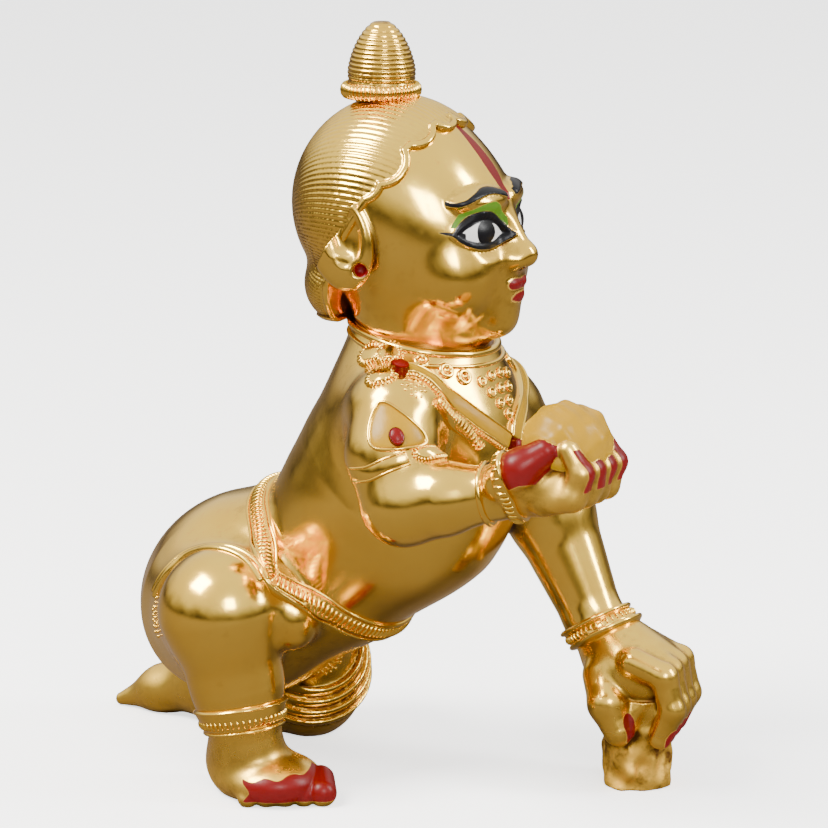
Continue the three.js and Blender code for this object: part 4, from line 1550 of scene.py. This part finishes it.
necklaceBeads()
plates("red_bosses", [(oval((18.3, -14.3, 57.3), 2.3, 2.7, 20), 0.9),
                      (oval((18.3, 14.0, 52.9), 2.3, 2.7, -20), 0.9),
                      (oval((28.3, -2.1, 46.2), 1.9, 2.1), 0.9)], redEnamel)
report("garland done")


# Leaves and plumes round the right shoulder, and the leaf band on the upper arm
ornaments = {
    "armLeaf": [(17.8, -18.7, 54.0), (17.3, -20.4, 51.6), (18.4, -22.0, 49.2), (21.6, -20.8, 49.0),
                (23.4, -18.1, 49.6), (20.4, -18.6, 53.0)],
    "flame": (20.9, -20.8, 50.4),
    "strap": [(15.2, -21.0, 45.3), (17.8, -22.6, 45.9), (20.4, -22.2, 47.2), (22.4, -20.8, 48.0)],
    "buckle": (24.2, -18.4, 48.0),
    "shoulderLeaves": [(12.6, -10.6, 58.3), (15.1, -10.9, 58.8), (16.6, -15.9, 56.6)],
    "plume": [(22.7, -13.4, 53.6), (23.9, -10.0, 50.7), (25.2, -8.3, 48.6), (26.2, -7.4, 46.9)],
    "ground": [((20.6, -15.2, 55.2), 3.6, 3.4, 0), ((-2.4, 5.6, 13.2), 6.0, 5.0, 0),
               ((-14.0, -16.9, 22.6), 2.4, 6.0, 0)],
}


def armLeaf():
    outline, buckle = ornaments["armLeaf"], oval(ornaments["buckle"], 4.6, 2.0, -14)
    plates("arm_leaf", [(outline, 0.3)], yellowEnamel)
    plates("leaf_flame", [(oval(ornaments["flame"], 2.0, 2.6, 15), 0.7)], redEnamel)
    strap = skinPath(ornaments["strap"], 40)
    facing = facingAt(whole, strap.astype(single))
    side = np.cross(facing, tangents(strap, False))
    parts = [rim(outline, 0.55, 0.55), plate(buckle, 0.55)]
    parts.append(band(strap, facing, flatProfile(1.5, 0.22, 0.6), False))
    for edge in (-0.85, 0.85):
        line = settled(strap + side * edge)
        parts.append(band(line, facingAt(whole, line.astype(single)), roundProfile(0.35, 0.35, 0.5), False))
    ridden(meshOf("armlet", parts, brass))
    studRow("buckle_knurls", [edgeRow(buckle, 26)], 0.8, 0.36, 1.0, 6)


def shoulderLeaves():
    turns = (20, -10, 40)
    outlines = [oval(place, 3.4, 2.6, turn) for place, turn in zip(ornaments["shoulderLeaves"], turns)]
    outlines.append(lens(ornaments["plume"], 2.3))
    ridden(meshOf("shoulder_leaves", [plate(outline, 0.4) for outline in outlines], brass))
    plume = skinPath(ornaments["plume"], 60)
    ribs = [edgeRow(outline, 20) for outline in outlines[:3]]
    ribs.append(rowOn(plume, facingAt(whole, plume.astype(single)), 17, False, 0.35))
    studRow("leaf_ribs", ribs, 1.5, 0.32, 0.9, 6)


def ground(place, width, height, turn, count=12):
    edge = np.array(oval(place, width, height, turn, count * 4))
    middle = edge.mean(0)
    rings = np.linspace(0.02, 1, count)
    points = settled((middle + (edge[None] - middle) * rings[:, None, None]).reshape(-1, 3))
    ring = len(edge)
    faces = []
    for row in range(count - 1):
        for k in range(ring):
            m = (k + 1) % ring
            faces.append((row * ring + k, (row + 1) * ring + k, (row + 1) * ring + m, row * ring + m))
    return points, faces


def stippledGround():
    source = meshOf("ground", [ground(*place) for place in ornaments["ground"]], brass)
    ridden(grown("stippled_ground", source, stipple,
                 {"Spacing": 0.00062, "Dot Size": 0.0005, "Flatness": 0.6, "Seed": 3, "Metal": brass}))


armLeaf()
shoulderLeaves()
stippledGround()
report("ornaments done")


# Stage: a plain pale floor and soft studio light
def addFloor():
    mesh = bpy.data.meshes.new("floor")
    mesh.from_pydata([(-5, -5, 0), (5, -5, 0), (5, 5, 0), (-5, 5, 0)], [], [(0, 1, 2, 3)])
    floor = link("floor", mesh)
    paperDarkInReflections = bpy.data.materials.new("paperDarkInReflections")
    paperDarkInReflections.use_nodes = True
    tree = paperDarkInReflections.node_tree
    shader = tree.nodes["Principled BSDF"]
    # Pale to the camera, near black in reflections: a painted dark reflection on the metal undersides
    path = tree.nodes.new("ShaderNodeLightPath")
    tone = mixColour(tree, path.outputs["Is Glossy Ray"], (0.9, 0.9, 0.9), (0.10, 0.085, 0.08))
    tree.links.new(tone, shader.inputs["Base Color"])
    shader.inputs["Roughness"].default_value = 0.9
    shader.inputs["Specular IOR Level"].default_value = 0.1
    shader.inputs["Emission Color"].default_value = (1, 1, 1, 1)
    glow = mathNode(tree, "MULTIPLY", path.outputs["Is Camera Ray"], 1.6)
    tree.links.new(glow, shader.inputs["Emission Strength"])
    mesh.materials.append(paperDarkInReflections)


def addSky():
    world = bpy.data.worlds.new("sky")
    bpy.context.scene.world = world
    world.use_nodes = True
    tree = world.node_tree
    back = tree.nodes["Background"]
    coordinates = tree.nodes.new("ShaderNodeTexCoord").outputs["Generated"]
    height = addNode(tree, "ShaderNodeSeparateXYZ", {0: coordinates}).outputs["Z"]
    cloud = addNode(tree, "ShaderNodeTexNoise", {"Vector": coordinates, "Scale": 2.2, "Detail": 3.0})
    cloud = cloud.outputs["Fac"]
    drift = mathNode(tree, "MULTIPLY", mathNode(tree, "SUBTRACT", cloud, 0.5), 0.5)
    level = mathNode(tree, "MULTIPLY", mathNode(tree, "ADD", height, drift), 0.5)
    ramp = addNode(tree, "ShaderNodeValToRGB", {"Fac": mathNode(tree, "ADD", level, 0.5)})
    stops = ramp.color_ramp.elements
    stops[0].position, stops[0].color = 0.0, (0.02, 0.02, 0.03, 1)
    stops[1].position, stops[1].color = 1.0, (1.0, 1.0, 1.0, 1)
    for place, shade in ((0.49, (0.025, 0.022, 0.03, 1)), (0.55, (0.2, 0.18, 0.15, 1)),
                         (0.68, (0.85, 0.84, 0.81, 1))):
        stops.new(place).color = shade
    path = tree.nodes.new("ShaderNodeLightPath")
    seen = mixColour(tree, path.outputs["Is Camera Ray"], ramp.outputs["Color"], (1, 1, 1))
    tree.links.new(seen, back.inputs["Color"])
    tree.links.new(mixValue(tree, path.outputs["Is Camera Ray"], 1.5, 3.4), back.inputs["Strength"])


def addLamp(name, azimuth, elevation, distance, size, power, colour=(1, 1, 1)):
    lamp = bpy.data.lights.new(name, "AREA")
    lamp.shape = "RECTANGLE"
    lamp.size, lamp.size_y = size
    lamp.energy = power
    lamp.color = colour
    middle = inRow((9, 0, 48))
    aim(link(name, lamp), middle + direction(azimuth, elevation) * distance, middle)


addCamera()
addFloor()
addSky()
addLamp("key", -40, 50, 0.6, (0.26, 0.26), 10, (1, 0.97, 0.92))
addLamp("side", 105, 30, 0.7, (0.12, 0.4), 5)
addLamp("front", 40, 25, 0.7, (0.2, 0.2), 3)
report("stage done")
